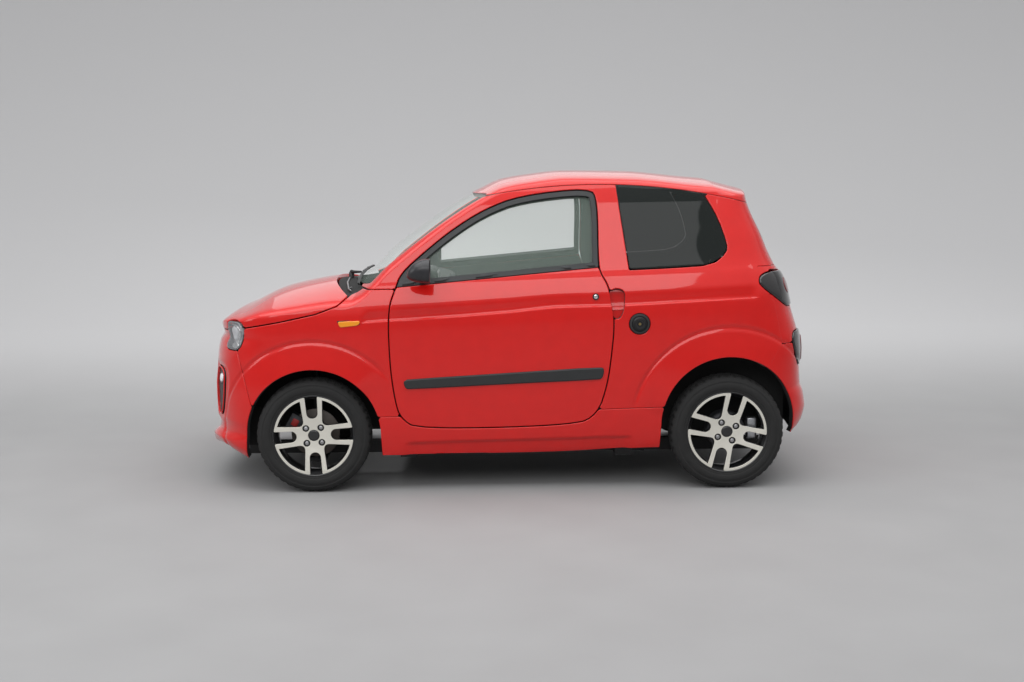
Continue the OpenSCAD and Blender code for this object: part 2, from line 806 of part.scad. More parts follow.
// road wheels
rim_w = tyre_w - 14;
spoke_t = 26;
spoke_in = 9;
hub_r = 76;
bolt_r = 50;
module wheel_at(x, s) {
  translate([x, s * wheel_y, axle_z]) rotate([s * 90, 0, 0]) mirror([0, 0, 1]) children();
}
module tyre(x, s) {
  h = tyre_w / 2;
  r = tyre_d / 2;
  b = rim_d / 2 - 6;
  color("black") wheel_at(x, s) rotate_extrude($fn = 96) polygon([
    [b, -h + 16], [b + 14, -h + 4], [(b + r) / 2, -h], [r - 26, -h + 5], [r - 8, -h + 15],
    [r - 1, -h + 34], [r, 0], [r - 1, h - 34],
    [r - 8, h - 15], [r - 26, h - 5], [(b + r) / 2, h], [b + 14, h - 4], [b, h - 16]]);
}
module rim(x, s, front) {
  h = rim_w / 2;
  b = rim_d / 2 - 6 - seam;
  face = tyre_w / 2 - spoke_in;
  color("silver") wheel_at(x, s) difference() {
    union() {
      rotate_extrude($fn = 96) polygon([
        [b - 12, -h], [b, -h], [b, h - 8], [b + 5, h - 4], [b + 5, h + 3], [b - 6, h + 3], [b - 12, h - 10]]);
      translate([0, 0, face - spoke_t]) cylinder(r = hub_r, h = spoke_t);
      for (a = [0:90:270])
        rotate([0, 0, a])
          for (d = [-1, 1])
            rotate([0, 0, d * 3])
              translate([50, d * 34 - 12, face - spoke_t]) cube([b - 58, 24, spoke_t - 4]);
      if (front) {
        translate([0, 0, disc_y - wheel_y - disc_t / 2]) cylinder(r = disc_d / 2, h = disc_t);
        translate([0, 0, disc_y - wheel_y]) cylinder(r = 60, h = face - disc_y + wheel_y - 4);
      }
      else translate([0, 0, -40]) cylinder(r = 92, h = face + 30);
    }
    translate([0, 0, -100]) cylinder(r = stub_r + pin_gap, h = 121);
    for (a = [0:90:270])
      rotate([0, 0, a + 45]) translate([bolt_r, 0, face - 12]) cylinder(r = 13, h = 13);
    translate([0, 0, face - 6]) cylinder(r = 26, h = 7);
  }
}
module rear_axle() {
  color("dimgray") {
    along_y([rear_x, 0, axle_z], 28, 2 * (wheel_y - 80));
    along_y([rear_x, 0, axle_z], stub_r, 2 * (wheel_y + 20));
    for (s = [-1, 1]) {
      translate([rear_x - 400, s * (rail_y + 60) - 20, axle_z - 30]) cube([400, 40, 40]);
      translate([rear_x - 420, s * (rail_y + 60) - 34.5, rail_z + 10]) cube([60, 69, axle_z - rail_z]);
      translate([rear_x - 20, s * 470, axle_z + 20]) cylinder(r = 42, h = boot_z - floor_t - axle_z - 20);
    }
  }
}
muffler = [110, 240, 90];
pipe_r = 11;
module exhaust() {
  color("gray") {
    translate([1096, 40, floor_z]) cube(muffler);
    translate([1200, 220, floor_z + pipe_r + 1]) rotate([0, 90, 0]) cylinder(r = pipe_r, h = 120);
  }
}

// cabin
driver_y = -300;
dash_y = post_y - 17;
dash_rows = [[0, 660], [126, 660], [266, 800], [266, 930], [240, 960], [176, 975], [0, 985]];
module dashboard() {
  color("dimgray") difference() {
    translate([fire_x + floor_t + seam, 0, 0]) across(-dash_y, dash_y) polygon(dash_rows);
    steer_frame() translate([0, 0, -300]) cylinder(r = column_r + seam, h = 400);
  }
}
column_r = 26;
wheel_hub = [-190, driver_y, 858];
module steer_frame() {
  translate(wheel_hub) rotate([0, 90 - column_tilt, 0]) children();
}
module steering_column() {
  color("dimgray") steer_frame() {
    translate([0, 0, -210]) cylinder(r = column_r, h = 160);
    translate([0, 0, -51]) cylinder(r = 10, h = 56);
  }
}
module steering_wheel() {
  color("black") steer_frame() difference() {
    union() {
      rotate_extrude($fn = 64) translate([steer_d / 2 - 14, 0]) circle(r = 14, $fn = 24);
      translate([0, 0, -42]) cylinder(r = 50, h = 50);
      for (a = [-90:90:90])
        rotate([0, 0, a]) translate([30, -16, -10]) cube([steer_d / 2 - 46, 32, 14]);
    }
    translate([0, 0, -43]) cylinder(r = 10 + pin_gap, h = 49);
  }
}
back_lean = 14;
module seat(s) {
  color("darkgray") translate([0, s * 300, 0]) {
    translate([-120, -seat_w / 2, seat_z - 130]) cube([470, seat_w, 130]);
    translate([290, 0, seat_z - 90])
      rotate([0, back_lean, 0]) {
        translate([0, 12 - seat_w / 2, 0]) cube([110, seat_w - 24, 560]);
        translate([20, -130, 580]) cube([76, 260, 170]);
        for (y = [-60, 60]) translate([50, y - 7, 550]) cube([14, 14, 60]);
      }
    for (y = [-150, 150])
      translate([-80, y - 20, floor_z + floor_t]) cube([380, 40, seat_z - 120 - floor_z - floor_t]);
  }
}
wiper_pivot = [-790, -40];
wiper_x = -735;
wiper_y = -470;
wiper_l = 660;
wiper_t = 14;
module wiper() {
  color("black") resize([0, 0, 0]) difference() {
    intersection() {
      body(-wiper_t);
      union() {
        translate([wiper_x, wiper_y, 900]) rotate([0, 0, -2]) cube([16, wiper_l, 300]);
        translate([wiper_pivot[0], wiper_pivot[1] - 8, 900]) cube([90, 16, 300]);
        wiper_post();
      }
    }
    difference() {
      body(screen_drop - seam / 2);
      wiper_post();
    }
    body(cowl_drop - seam / 2);
  }
}
module wiper_post() {
  translate([wiper_pivot[0], wiper_pivot[1], 900]) cylinder(r = 14, h = 200, $fn = 16);
}
cap_x = 617;
cap_z = 794;
cap_r = 46;
module fuel_cap() { color("black") along_y([cap_x, -half_w + 32, cap_z], cap_r, 52); }
strip_z = 552;
mirror_at = [-408, -815, 1050];
mirror_dip = 124;
module door_trim(side) {
  color("dimgray") right_of(side) {
    resize([0, 0, 0]) intersection() {
      shell(-9, -0.4);
      left_half() offset(r = 10, $fn = 8)
        polygon([[-485, strip_z - 28], [430, strip_z + 3], [430, strip_z + 40], [-485, strip_z - 2]]);
    }
    resize([0, 0, 0]) difference() {
      union() {
        translate(mirror_at) rotate([0, 90, 0]) cylinder(r1 = 46, r2 = 54, h = 62, center = true, $fn = 20);
        translate(mirror_at) sphere(r = 50, $fn = 12);
        translate(mirror_at) rotate([-mirror_dip, 0, -8]) cylinder(r = 16, h = 150, $fn = 12);
      }
      body(-0.4);
    }
  }
}

floor_pan();
chassis_rails();
side_panel(-1);  // side_panel_left
side_panel(1);  // side_panel_right
roof_panel();
front_wing(-1);  // front_wing_left
front_wing(1);  // front_wing_right
front_bumper();
grille();
lid_pins();
front_lamps(-1);  // front_lamps_left
front_lamps(1);  // front_lamps_right
windscreen();
cowl_panel();
wiper();
dashboard();
steering_column();
seat(-1);  // seat_left
seat(1);  // seat_right
engine_block();
arch_liners(0);  // front_arch_liners
arch_liners(1);  // rear_arch_liners
front_suspension();
rear_axle();
exhaust();
sill(-1);  // sill_left
sill(1);  // sill_right
quarter_glass(-1);  // quarter_glass_left
quarter_glass(1);  // quarter_glass_right
fuel_cap();
tail_panel();
rear_bumper();
rear_lamps(-1);  // rear_lamps_left
rear_lamps(1);  // rear_lamps_right
hood();
hatch_glass();
door(-1);  // door_left
door(1);  // door_right
door_glass(-1);  // door_glass_left
door_glass(1);  // door_glass_right
door_trim(-1);  // door_trim_left
door_trim(1);  // door_trim_right
steering_wheel();
knuckle(-1);  // knuckle_left
knuckle(1);  // knuckle_right
tyre(front_x, -1);  // tyre_front_left
tyre(front_x, 1);  // tyre_front_right
tyre(rear_x, -1);  // tyre_rear_left
tyre(rear_x, 1);  // tyre_rear_right
rim(front_x, -1, true);  // rim_front_left
rim(front_x, 1, true);  // rim_front_right
rim(rear_x, -1, false);  // rim_rear_left
rim(rear_x, 1, false);  // rim_rear_right
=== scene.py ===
"""Look of the microcar over its CAD frame: x runs to the rear, y to the car's right, z up."""
import math

import bmesh
import bpy
import numpy as np
from mathutils import Matrix, Vector


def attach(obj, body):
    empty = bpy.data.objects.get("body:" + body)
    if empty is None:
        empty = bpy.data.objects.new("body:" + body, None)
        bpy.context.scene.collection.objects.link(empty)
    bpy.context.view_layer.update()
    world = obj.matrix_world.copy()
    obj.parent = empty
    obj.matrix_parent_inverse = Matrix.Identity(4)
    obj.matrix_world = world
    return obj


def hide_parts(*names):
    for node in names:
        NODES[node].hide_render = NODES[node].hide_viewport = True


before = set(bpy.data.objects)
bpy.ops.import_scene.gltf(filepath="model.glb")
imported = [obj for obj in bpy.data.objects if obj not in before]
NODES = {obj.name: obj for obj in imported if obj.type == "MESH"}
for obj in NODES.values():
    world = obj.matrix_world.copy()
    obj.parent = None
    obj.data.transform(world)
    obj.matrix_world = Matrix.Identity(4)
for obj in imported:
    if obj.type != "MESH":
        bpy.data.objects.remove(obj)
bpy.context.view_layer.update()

# Sizes of the car in mm, as in the part's source
HL, HW, H = 1490.0, 745.0, 1510.0               # half length, half width, height
SILL = 175.0
FX, RX, AZ, WY = -919.0, 1039.0, 272.0, 647.5   # axles, their height, middle of a wheel
NOSE_L, TAIL_L = 560.0, 600.0                   # rounded stretch at each end
NOSE_X, TAIL_X = NOSE_L - HL, HL - TAIL_L
NOSE_N, TAIL_N = 3.0, 4.5                       # power of its oval in plan
ARCHES = [(FX, AZ, 318.0, 446.0), (RX + 6, AZ + 42, 320.0, 456.0)]    # centre, radius, radius of the flare
FLARE_OUT = 13.0
HOOD_R, HOOD_X = 1782.0, -860.0                 # arc of the hood's rear edge
MM = 0.001                                      # scene units in a millimetre

TOP = [    # share of half length, share of height, depth of the crown
    (-1.00, 0.502, 14), (-0.96, 0.540, 22), (-0.885, 0.568, 34), (-0.77, 0.609, 46),
    (-0.66, 0.634, 54), (-0.575, 0.647, 56), (-0.502, 0.654, 60), (-0.365, 0.765, 70),
    (-0.15, 0.909, 62), (-0.085, 0.942, 56), (-0.01, 0.974, 52), (0.06, 0.986, 50),
    (0.20, 1.000, 50), (0.40, 0.997, 50), (0.60, 0.979, 50), (1.00, 0.943, 50)]
SIDE = [    # height, share of half width
    (120, 0.850), (175, 0.930), (240, 0.953), (340, 0.968), (480, 0.978), (640, 0.984),
    (790, 0.985), (868, 0.982), (915, 0.972), (960, 0.955), (1000, 0.937), (1016, 0.928),
    (1200, 0.850), (1390, 0.770), (1500, 0.705)]
NOSE = [    # height, how far the nose is set back there
    (132, 110), (150, 80), (170, 46), (207, 14), (238, 10), (256, 26), (278, 46), (300, 46), (340, 34),
    (470, 32), (560, 40), (630, 46), (694, 60), (734, 80), (760, 72), (800, 66)]
TAIL = [    # height, how far the tail is set in there
    (160, 90), (254, 70), (282, 42), (333, 18), (372, 12), (400, 16), (440, 24), (480, 40), (560, 42),
    (641, 40), (703, 46), (760, 64), (860, 96), (941, 116), (1004, 140), (1060, 180), (1200, 240),
    (1372, 316), (1430, 326)]
FAR = 500.0    # distance given to what lies at the car's other end


# Plane curves and distances
def curve(rows):
    """Smooth monotone curve through (x, y) rows."""
    x, y = np.array(rows, float).T
    h = np.diff(x)
    d = np.diff(y) / h
    m = np.zeros_like(y)
    m[0], m[-1] = d[0], d[-1]
    for i in range(1, len(x) - 1):
        if d[i - 1] * d[i] > 0:
            a, b = 2 * h[i] + h[i - 1], h[i] + 2 * h[i - 1]
            m[i] = (a + b) / (a / d[i - 1] + b / d[i])

    def f(q):
        q = np.clip(q, x[0], x[-1])
        i = np.clip(np.searchsorted(x, q) - 1, 0, len(h) - 1)
        t = (q - x[i]) / h[i]
        return (y[i] * (1 + 2 * t) * (1 - t) ** 2 + m[i] * h[i] * t * (1 - t) ** 2
                + y[i + 1] * t * t * (3 - 2 * t) + m[i + 1] * h[i] * t * t * (t - 1))
    return f


def angles(n):
    """Angles of n even steps round a circle."""
    return np.linspace(0, 2 * math.pi, n, endpoint=False)


def step(t):
    c = np.clip(t, 0, 1)
    return c * c * (3 - 2 * c)


def soften(pts, times=2):
    p = np.array(pts, float)
    for _ in range(times):
        q = np.roll(p, -1, 0)
        p = np.stack([0.75 * p + 0.25 * q, 0.25 * p + 0.75 * q], 1).reshape(-1, 2)
    return p


def poly(pts):
    """Signed distance to a closed outline, below zero inside."""
    a = np.array(pts, float)
    b = np.roll(a, -1, 0)

    def f(u, v):
        d = np.full(u.shape, 1e9)
        inside = np.zeros(u.shape, bool)
        for (ax, ay), (bx, by) in zip(a, b):
            ex, ey = bx - ax, by - ay
            wx, wy = u - ax, v - ay
            t = np.clip((wx * ex + wy * ey) / (ex * ex + ey * ey + 1e-12), 0, 1)
            d = np.minimum(d, (wx - ex * t) ** 2 + (wy - ey * t) ** 2)
            if ay != by:
                inside ^= ((ay > v) != (by > v)) & (u < ex * (v - ay) / ey + ax)
        return np.where(inside, -1, 1) * np.sqrt(d)
    return f


def side(outline):
    return lambda p: outline(p[:, 0], p[:, 2])


def back(outline):
    return lambda p: outline(p[:, 1], p[:, 2])


def both(*fs):
    return lambda p: np.maximum.reduce([f(p) for f in fs])


def either(*fs):
    return lambda p: np.minimum.reduce([f(p) for f in fs])


def out(f, d=0.0):
    """All that lies more than d outside f."""
    return lambda p: d - f(p)


def grow(f, d):
    return lambda p: f(p) - d


def disc(x, z, r):
    return lambda p: np.hypot(p[:, 0] - x, p[:, 2] - z) - r


# The body's surface
top_z = curve([(a * HL, b * H) for a, b, c in TOP])
crown_of = curve([(a * HL, c) for a, b, c in TOP])
side_share = curve(SIDE)
nose_in = curve(NOSE)
tail_in = curve(TAIL)


def under_z(x):
    return (SILL + 24 * step((x - 200) / 500) + 52 * step((x - 1150) / 150)
            - 42 * step((-x - 900) / 150) + 56 * step((-x - 1290) / 200))


def smin(a, b, r):
    h = np.maximum(r - abs(a - b), 0) / r
    return np.minimum(a, b) - h * h * r / 4


def skin_y(x, share, z):
    sy = share * HW * side_share(z - 0.04 * x)
    cy = 0.8 * HW * np.sqrt(np.maximum(0, top_z(x) - z) / crown_of(x))
    return np.maximum(0, smin(sy, cy, 80.0))


swage_z = curve([(-1500, 770), (-760, 801), (-675, 807), (-566, 814), (-409, 822), (0, 850), (244, 872),
                 (500, 877), (786, 890), (1135, 908), (1500, 920)])


def swage(x, z):
    """Ledge along the side: the part above it starts set in and swells out again."""
    w = z - swage_z(x)
    fade = step((x + 690) / 50) * step((1190 - x) / 60)
    return -9.0 * fade * step((w + 1) / 9) * step((72 - w) / 62)


def flare(x, z):
    """Raised band round the arches: it starts at a crease and eases out to the arch's edge."""
    d = 0
    for k, (ax, az, r, rf) in enumerate(ARCHES):
        rho = np.hypot(x - ax, z - az)
        ang = np.degrees(np.arctan2(z - az, x - ax))
        ang = np.where(ang < -90, ang + 360, ang)
        fade = step((ang - 32) / 18) if k == 0 else step((174 - ang) / 14)
        t = np.clip((rf - rho) / (rf - r), 0, 1)
        groove = np.exp(-((rho - rf - 2) / 7.0) ** 2)
        d = d + fade * (FLARE_OUT * t - 6.0 * groove)
    return d


SPACING, LOW_ROWS, TOP_ROWS = 8.0, 78, 132    # grid: step along the car, rows below and above the ledge


def stations():
    """Places along the car in even steps of its plan's outline, with the width's share at each."""
    q = np.linspace(0, math.pi / 2, 3000)
    (nl, ns), (tl, ts) = [(np.sin(q) ** (2 / n), np.maximum(np.cos(q), 0) ** (2 / n))
                          for n in (NOSE_N, TAIL_N)]
    mx = np.linspace(NOSE_X, TAIL_X, 3000)[1:-1]
    x = np.concatenate([(NOSE_X - NOSE_L * nl)[::-1], mx, TAIL_X + TAIL_L * tl])
    s = np.concatenate([ns[::-1], np.ones(len(mx)), ts])
    a = np.concatenate([[0], np.cumsum(np.hypot(np.diff(x), HW * np.diff(s)))])
    g = np.linspace(0, a[-1], int(a[-1] / SPACING) + 1)
    return np.interp(g, a, x), np.interp(g, a, s)


def left_grid():
    xs, shares = stations()
    cols = []
    for x, sh in zip(xs, shares):
        z0, z1 = float(under_z(x)), float(top_z(x))
        c = float(crown_of(x))
        zs = min(float(swage_z(x)) - 1, z1 - 1.7 * c)
        low = np.linspace(z0, zs, LOW_ROWS)[:-1]
        fine = zs + np.array([0, 1.5, 3, 4.5, 6])
        q = np.linspace(0, 1, 500)
        z = fine[-1] + (z1 - fine[-1]) * (1 - (1 - q) ** 2)
        y = skin_y(x, sh, z)
        a = np.concatenate([[0], np.cumsum(np.hypot(np.diff(y), np.diff(z)))])
        zz = np.interp(np.linspace(0, a[-1], TOP_ROWS)[1:], a, z)
        z = np.concatenate([low, fine, zz])
        y = skin_y(x, sh, z)
        y[-1] = 0
        low = 40 * (1 - step(y / 480)) * step((430 - z) / 130)
        nose = nose_in(z + low) * (1 - step((x + HL) / 420))
        tail = tail_in(z) * np.clip((x - HL + 500) / 500, 0, 1)
        cols.append(np.stack([x + nose - tail, -y, z], 1))
    return np.array(cols)


def grid_normals(p):
    n = np.cross(np.gradient(p, axis=0), np.gradient(p, axis=1))
    n /= np.linalg.norm(n, axis=2, keepdims=True) + 1e-12
    return n


GRID = left_grid()
NRM = grid_normals(GRID)
FLIP = NRM[len(NRM) // 2, 20, 1] > 0    # the grid's own direction points inwards
if FLIP:
    NRM = -NRM


def lamp(side_pts, back_pts, ahead):
    """Area of a lamp: its outline from the side and its outline from the front, rounded where they meet."""
    a, b = poly(soften(side_pts, 1)), poly(soften(back_pts, 2))

    def f(p, d=0.0):
        g = -smin(-a(p[:, 0], p[:, 2]), -b(-abs(p[:, 1]), p[:, 2]), 24.0) - d
        return np.where((p[:, 0] < 0) == ahead, g, FAR)
    return f


HEAD = lamp([(-1600, 812), (-1300, 812), (-1268, 812), (-1243, 786), (-1240, 737), (-1264, 680), (-1304, 667),
             (-1600, 667)],
            [(-552, 700), (-552, 790), (-576, 826), (-900, 826), (-900, 652), (-576, 656)], True)
POD = lamp([(-1600, 586), (-1394, 585), (-1368, 578), (-1352, 550), (-1356, 478), (-1362, 424), (-1371, 371),
            (-1384, 340), (-1400, 334), (-1600, 334)],
           [(-404, 470), (-412, 560), (-440, 592), (-900, 604), (-900, 310), (-446, 330), (-414, 380)], True)
TAIL_LAMP = lamp([(1180, 994), (1192, 1019), (1274, 1040), (1600, 1044), (1600, 846), (1345, 852),
                  (1276, 902), (1186, 968)],
                 [(-470, 880), (-466, 1000), (-490, 1042), (-900, 1060), (-900, 840), (-500, 846)], False)
LOW_LAMP = lamp([(1354, 716), (1372, 748), (1600, 754), (1600, 550), (1406, 556), (1372, 642)],
                [(-436, 650), (-440, 730), (-470, 756), (-900, 760), (-900, 540), (-476, 548), (-444, 580)],
                False)


def lamp_area(l, d=0.0):
    return lambda p: l(p, d)


def spot(cx, cy, cz, a, b, head):
    """Oval seen along a heading, for what is inside a lamp."""
    h = math.radians(head)

    def f(p):
        u = -(p[:, 0] - cx) * math.sin(h) + (-abs(p[:, 1]) - cy) * math.cos(h)
        g = np.sqrt((u / a) ** 2 + ((p[:, 2] - cz) / b) ** 2)
        return np.where((p[:, 0] < 0) == (cx < 0), (g - 1) * min(a, b), FAR)
    return f


def shape_details():
    """Raised and sunk details of the left half, along the surface's own direction."""
    global NRM
    p = GRID.reshape(-1, 3)
    x, z = p[:, 0], p[:, 2]
    d = swage(x, z)
    lower = step((-p[:, 1] - 420) / 60)
    d = d + flare(x, z) * lower
    # shallow recess round the driving lamp, and the chin that turns under below a crease
    d = d - 7 * step((30 - POD(p)) / 26)
    crease = np.interp(x, [-1500, -1400, -1258, -1180], [252, 251, 208, 190])
    d = d - 30 * np.clip((crease - z) / 90, 0, 1) * step((-1150 - x) / 60) * step((-p[:, 1] - 300) / 200)
    # step along the foot of the sill
    d = d - 12 * step((246 + 0.02 * x - z) / 10) * step((x + 500) / 60) * step((600 - x) / 60)
    n = NRM.reshape(-1, 3)
    p += n * d[:, None]
    p[:, 1] = np.minimum(p[:, 1], 0)
    NRM = grid_normals(GRID) * (-1 if FLIP else 1)
    NRM[0, :, 1] = NRM[-1, :, 1] = 0
    NRM[:, -1, 1] = 0
    NRM /= np.linalg.norm(NRM, axis=2, keepdims=True) + 1e-12


shape_details()


def grid_faces(a, b, flip):
    i, j = np.meshgrid(np.arange(a - 1), np.arange(b - 1), indexing="ij")
    q = (i * b + j).ravel()
    t = np.concatenate([np.stack([q, q + b, q + b + 1], 1), np.stack([q, q + b + 1, q + 1], 1)])
    return t[:, ::-1] if flip else t


def mirror_y(p):
    return p * np.array([1, -1, 1])


def thinned(stride):
    """Every so many rows and columns of the grid, and always the last ones, which lie on the middle plane."""
    r, c = (np.unique(np.append(np.arange(0, k, stride), k - 1)) for k in GRID.shape[:2])
    return GRID[np.ix_(r, c)], NRM[np.ix_(r, c)]


def half_surface(stride=1):
    g, n = thinned(stride)
    return g.reshape(-1, 3), n.reshape(-1, 3), grid_faces(g.shape[0], g.shape[1], FLIP)


def full_surface(stride=1):
    g, n = thinned(stride)
    g = np.concatenate([g, mirror_y(g)[:, ::-1][:, 1:]], 1)
    n = np.concatenate([n, mirror_y(n)[:, ::-1][:, 1:]], 1)
    return g.reshape(-1, 3), n.reshape(-1, 3), grid_faces(g.shape[0], g.shape[1], FLIP)


# Cutting a panel out of a surface
def clip(v, n, t, f):
    """Keeps the part of a triangle mesh where f is below zero."""
    f = np.where(f == 0, -1e-9, f)
    s = f < 0
    k = s[t].sum(1)
    full = t[k == 3]
    faces = []
    one, two = t[k == 1], t[k == 2]
    for tri, want in ((one, True), (two, False)):
        if len(tri) == 0:
            continue
        first = np.argmax(s[tri] == want, 1)
        a, b, c = (tri[np.arange(len(tri)), (first + q) % 3] for q in range(3))
        faces.append((want, a, b, c))
    base = len(v)
    pairs = [np.stack([np.minimum(a, q), np.maximum(a, q)], 1) for w, a, b, c in faces for q in (b, c)]
    if not pairs:
        return v, n, full
    allp = np.concatenate(pairs)
    uniq, inv = np.unique(allp, axis=0, return_inverse=True)
    inv = inv.ravel()
    w = (f[uniq[:, 0]] / (f[uniq[:, 0]] - f[uniq[:, 1]]))[:, None]
    nv = v[uniq[:, 0]] * (1 - w) + v[uniq[:, 1]] * w
    nn = n[uniq[:, 0]] * (1 - w) + n[uniq[:, 1]] * w
    tris, pos = [full], 0
    for want, a, b, c in faces:
        m = len(a)
        ab, ac = inv[pos:pos + m] + base, inv[pos + m:pos + 2 * m] + base
        pos += 2 * m
        if want:
            tris.append(np.stack([a, ab, ac], 1))
        else:
            tris.append(np.stack([ab, b, c], 1))
            tris.append(np.stack([ab, c, ac], 1))
    tris = np.concatenate(tris)
    v, n = np.concatenate([v, nv]), np.concatenate([n, nn])
    used, idx = np.unique(tris, return_inverse=True)
    n = n[used]
    n = n / (np.linalg.norm(n, axis=1, keepdims=True) + 1e-12)
    return v[used], n, idx.reshape(-1, 3)


def rim_edges(v, t, seam_y=3.0):
    e = np.concatenate([t[:, [0, 1]], t[:, [1, 2]], t[:, [2, 0]]])
    key = np.sort(e, 1)
    _, first, count = np.unique(key, axis=0, return_index=True, return_counts=True)
    e = e[first[count == 1]]
    on_seam = (abs(v[e, 1]) < seam_y).all(1) & (abs(v[e[:, 0], 2] - v[e[:, 1], 2]) > 0.2)
    return e[~on_seam]


def gradient(f, p):
    g = np.zeros_like(p)
    for k in range(3):
        q = np.zeros(3)
        q[k] = 0.5
        g[:, k] = f(p + q) - f(p - q)
    return g


def make(name, verts, faces, mats, mat_index=None, normals=None):
    me = bpy.data.meshes.new(name)
    me.from_pydata((np.asarray(verts) * MM).tolist(), [], [list(map(int, q)) for q in faces])
    for m in mats:
        me.materials.append(m)
    if mat_index is not None:
        me.polygons.foreach_set("material_index", np.asarray(mat_index, np.int32))
    me.polygons.foreach_set("use_smooth", np.ones(len(me.polygons), bool))
    me.update()
    if normals is not None:
        me.normals_split_custom_set_from_vertices(np.asarray(normals).tolist())
    ob = bpy.data.objects.new(name, me)
    bpy.context.scene.collection.objects.link(ob)
    return ob


def panel(name, surface, f, mats, r=4.0, t=14.0, drop=0.0, inner=None, flip=False, arc=4, wall=0, edge=0):
    """A piece cut out of a surface: rounded edge r, wall t deep, set in by drop; inner = (surface, depth)."""
    v, n, tri = surface
    v = v - n * drop
    v, n, tri = clip(v, n, tri, f(v) + r)
    e = rim_edges(v, tri)
    ids, inv = np.unique(e, return_inverse=True)
    inv = inv.reshape(-1, 2)
    g = gradient(f, v[ids])
    nb = n[ids]
    g = g - (g * nb).sum(1, keepdims=True) * nb
    g = g / (np.linalg.norm(g, axis=1, keepdims=True) + 1e-9)
    verts, norms = [v], [n]
    prev = ids
    total = len(v)
    quads = []
    for k in range(1, arc + 2):
        if k <= arc:
            a = math.pi / 2 * k / arc
            pos = v[ids] + g * r * math.sin(a) - nb * r * (1 - math.cos(a))
            nor = nb * math.cos(a) + g * math.sin(a)
        else:
            pos = v[ids] + g * r - nb * t
            nor = g
        cur = np.arange(total, total + len(ids))
        total += len(ids)
        verts.append(pos)
        norms.append(nor)
        quads.append(np.stack([prev[inv[:, 1]], prev[inv[:, 0]], cur[inv[:, 0]], cur[inv[:, 1]]], 1))
        prev = cur
    faces = [list(q) for q in tri] + [list(q) for q in np.concatenate(quads)]
    mi = [0] * len(tri) + [edge] * (len(faces) - len(tri) - len(quads[-1])) + [wall] * len(quads[-1])
    if inner is not None:
        (iv, inn, it), depth = inner
        iv = iv - inn * drop
        iv, inn, it = clip(iv, inn, it, f(iv) + 1.0)
        verts.append(iv - inn * depth)
        norms.append(-inn)
        faces += [list(q) for q in it[:, ::-1] + total]
        mi += [min(1, len(mats) - 1)] * len(it)
    verts, norms = np.concatenate(verts), np.concatenate(norms)
    if flip:
        verts, norms = mirror_y(verts), mirror_y(norms)
        faces = [q[::-1] for q in faces]
    return make(name, verts, faces, mats, mi, norms)


# Materials
def node(tree, kind, sources=None, **values):
    """New shader node: values set on its inputs, sources linked to them."""
    n = tree.nodes.new("ShaderNode" + kind)
    for key, value in values.items():
        n.inputs[key.replace("_", " ")].default_value = value
    for key, source in (sources or {}).items():
        tree.links.new(source, n.inputs[key])
    return n


def ramp(tree, source, low, high):
    """Colour that runs between two ends, each a position and a colour."""
    n = node(tree, "ValToRGB", {"Fac": source})
    for k, (position, color) in enumerate((low, high)):
        n.color_ramp.elements[k].position = position
        n.color_ramp.elements[k].color = (*color, 1)
    return n.outputs["Color"]


def principled(name, color, rough, metal=0.0, coat=0.0, spec=0.5):
    m = bpy.data.materials.new(name)
    m.use_nodes = True
    b = m.node_tree.nodes["Principled BSDF"]
    values = {"Base Color": (*color, 1), "Roughness": rough, "Metallic": metal, "Coat Weight": coat,
              "Coat Roughness": 0.03, "Specular IOR Level": spec}
    for key, value in values.items():
        b.inputs[key].default_value = value
    return m, b


def plain(name, color, rough, metal=0.0, coat=0.0, scale=900, strength=0.15, tint=0.12, spread=0.08,
          dist=0.0004, spec=0.5):
    """Finish with a noise bump, and with colour and roughness that vary a little over the surface."""
    m, b = principled(name, color, rough, metal, coat, spec)
    t = m.node_tree
    at = node(t, "TexCoord").outputs["Object"]
    fine = node(t, "TexNoise", {"Vector": at}, Scale=scale, Detail=5).outputs["Fac"]
    if strength:
        bump = node(t, "Bump", {"Height": fine}, Strength=strength, Distance=dist)
        t.links.new(bump.outputs["Normal"], b.inputs["Normal"])
    big = node(t, "TexNoise", {"Vector": at}, Scale=scale / 25, Detail=4).outputs["Fac"]
    dark = [c * (1 - tint) for c in color]
    pale = [min(1, c * (1 + tint)) for c in color]
    t.links.new(ramp(t, big, (0.3, dark), (0.7, pale)), b.inputs["Base Color"])
    gloss = node(t, "MapRange", {"Value": big}, To_Min=max(0.02, rough - spread), To_Max=rough + spread)
    t.links.new(gloss.outputs["Result"], b.inputs["Roughness"])
    return m


RED = plain("paint_red", (0.62, 0.006, 0.004), 0.36, coat=1.0, scale=420, strength=0.012, tint=0.03,
            spread=0.03, dist=0.0003, spec=0.1)
INNER = plain("inner_lining", (0.07, 0.07, 0.073), 0.75)
HEADLINER = plain("headliner", (0.42, 0.42, 0.41), 0.9, scale=1600, strength=0.3)
FRAME = plain("window_frame", (0.014, 0.016, 0.018), 0.42, scale=1200, strength=0.12)
BLACK = plain("black_plastic", (0.012, 0.012, 0.013), 0.42, strength=0.1)
RUBBER = plain("seal_rubber", (0.010, 0.010, 0.011), 0.55, strength=0.1)
TRIM = plain("trim_grey", (0.018, 0.020, 0.021), 0.55, scale=1400, strength=0.25)
LINER = plain("liner_black", (0.008, 0.008, 0.008), 0.85, strength=0.3)


def glass(name, color, alpha, rough=0.02, spec=0.5):
    """Thin tinted pane: part clear, part gloss."""
    m, b = principled(name, color, rough, spec=spec)
    b.inputs["Alpha"].default_value = alpha
    b.inputs["IOR"].default_value = 1.5
    m.surface_render_method = "BLENDED"
    return m


CLEAR = glass("glass_clear", (0.80, 1.0, 0.87), 0.12, spec=0.4)
DARK = glass("glass_dark", (0.010, 0.013, 0.012), 0.92, spec=0.22)

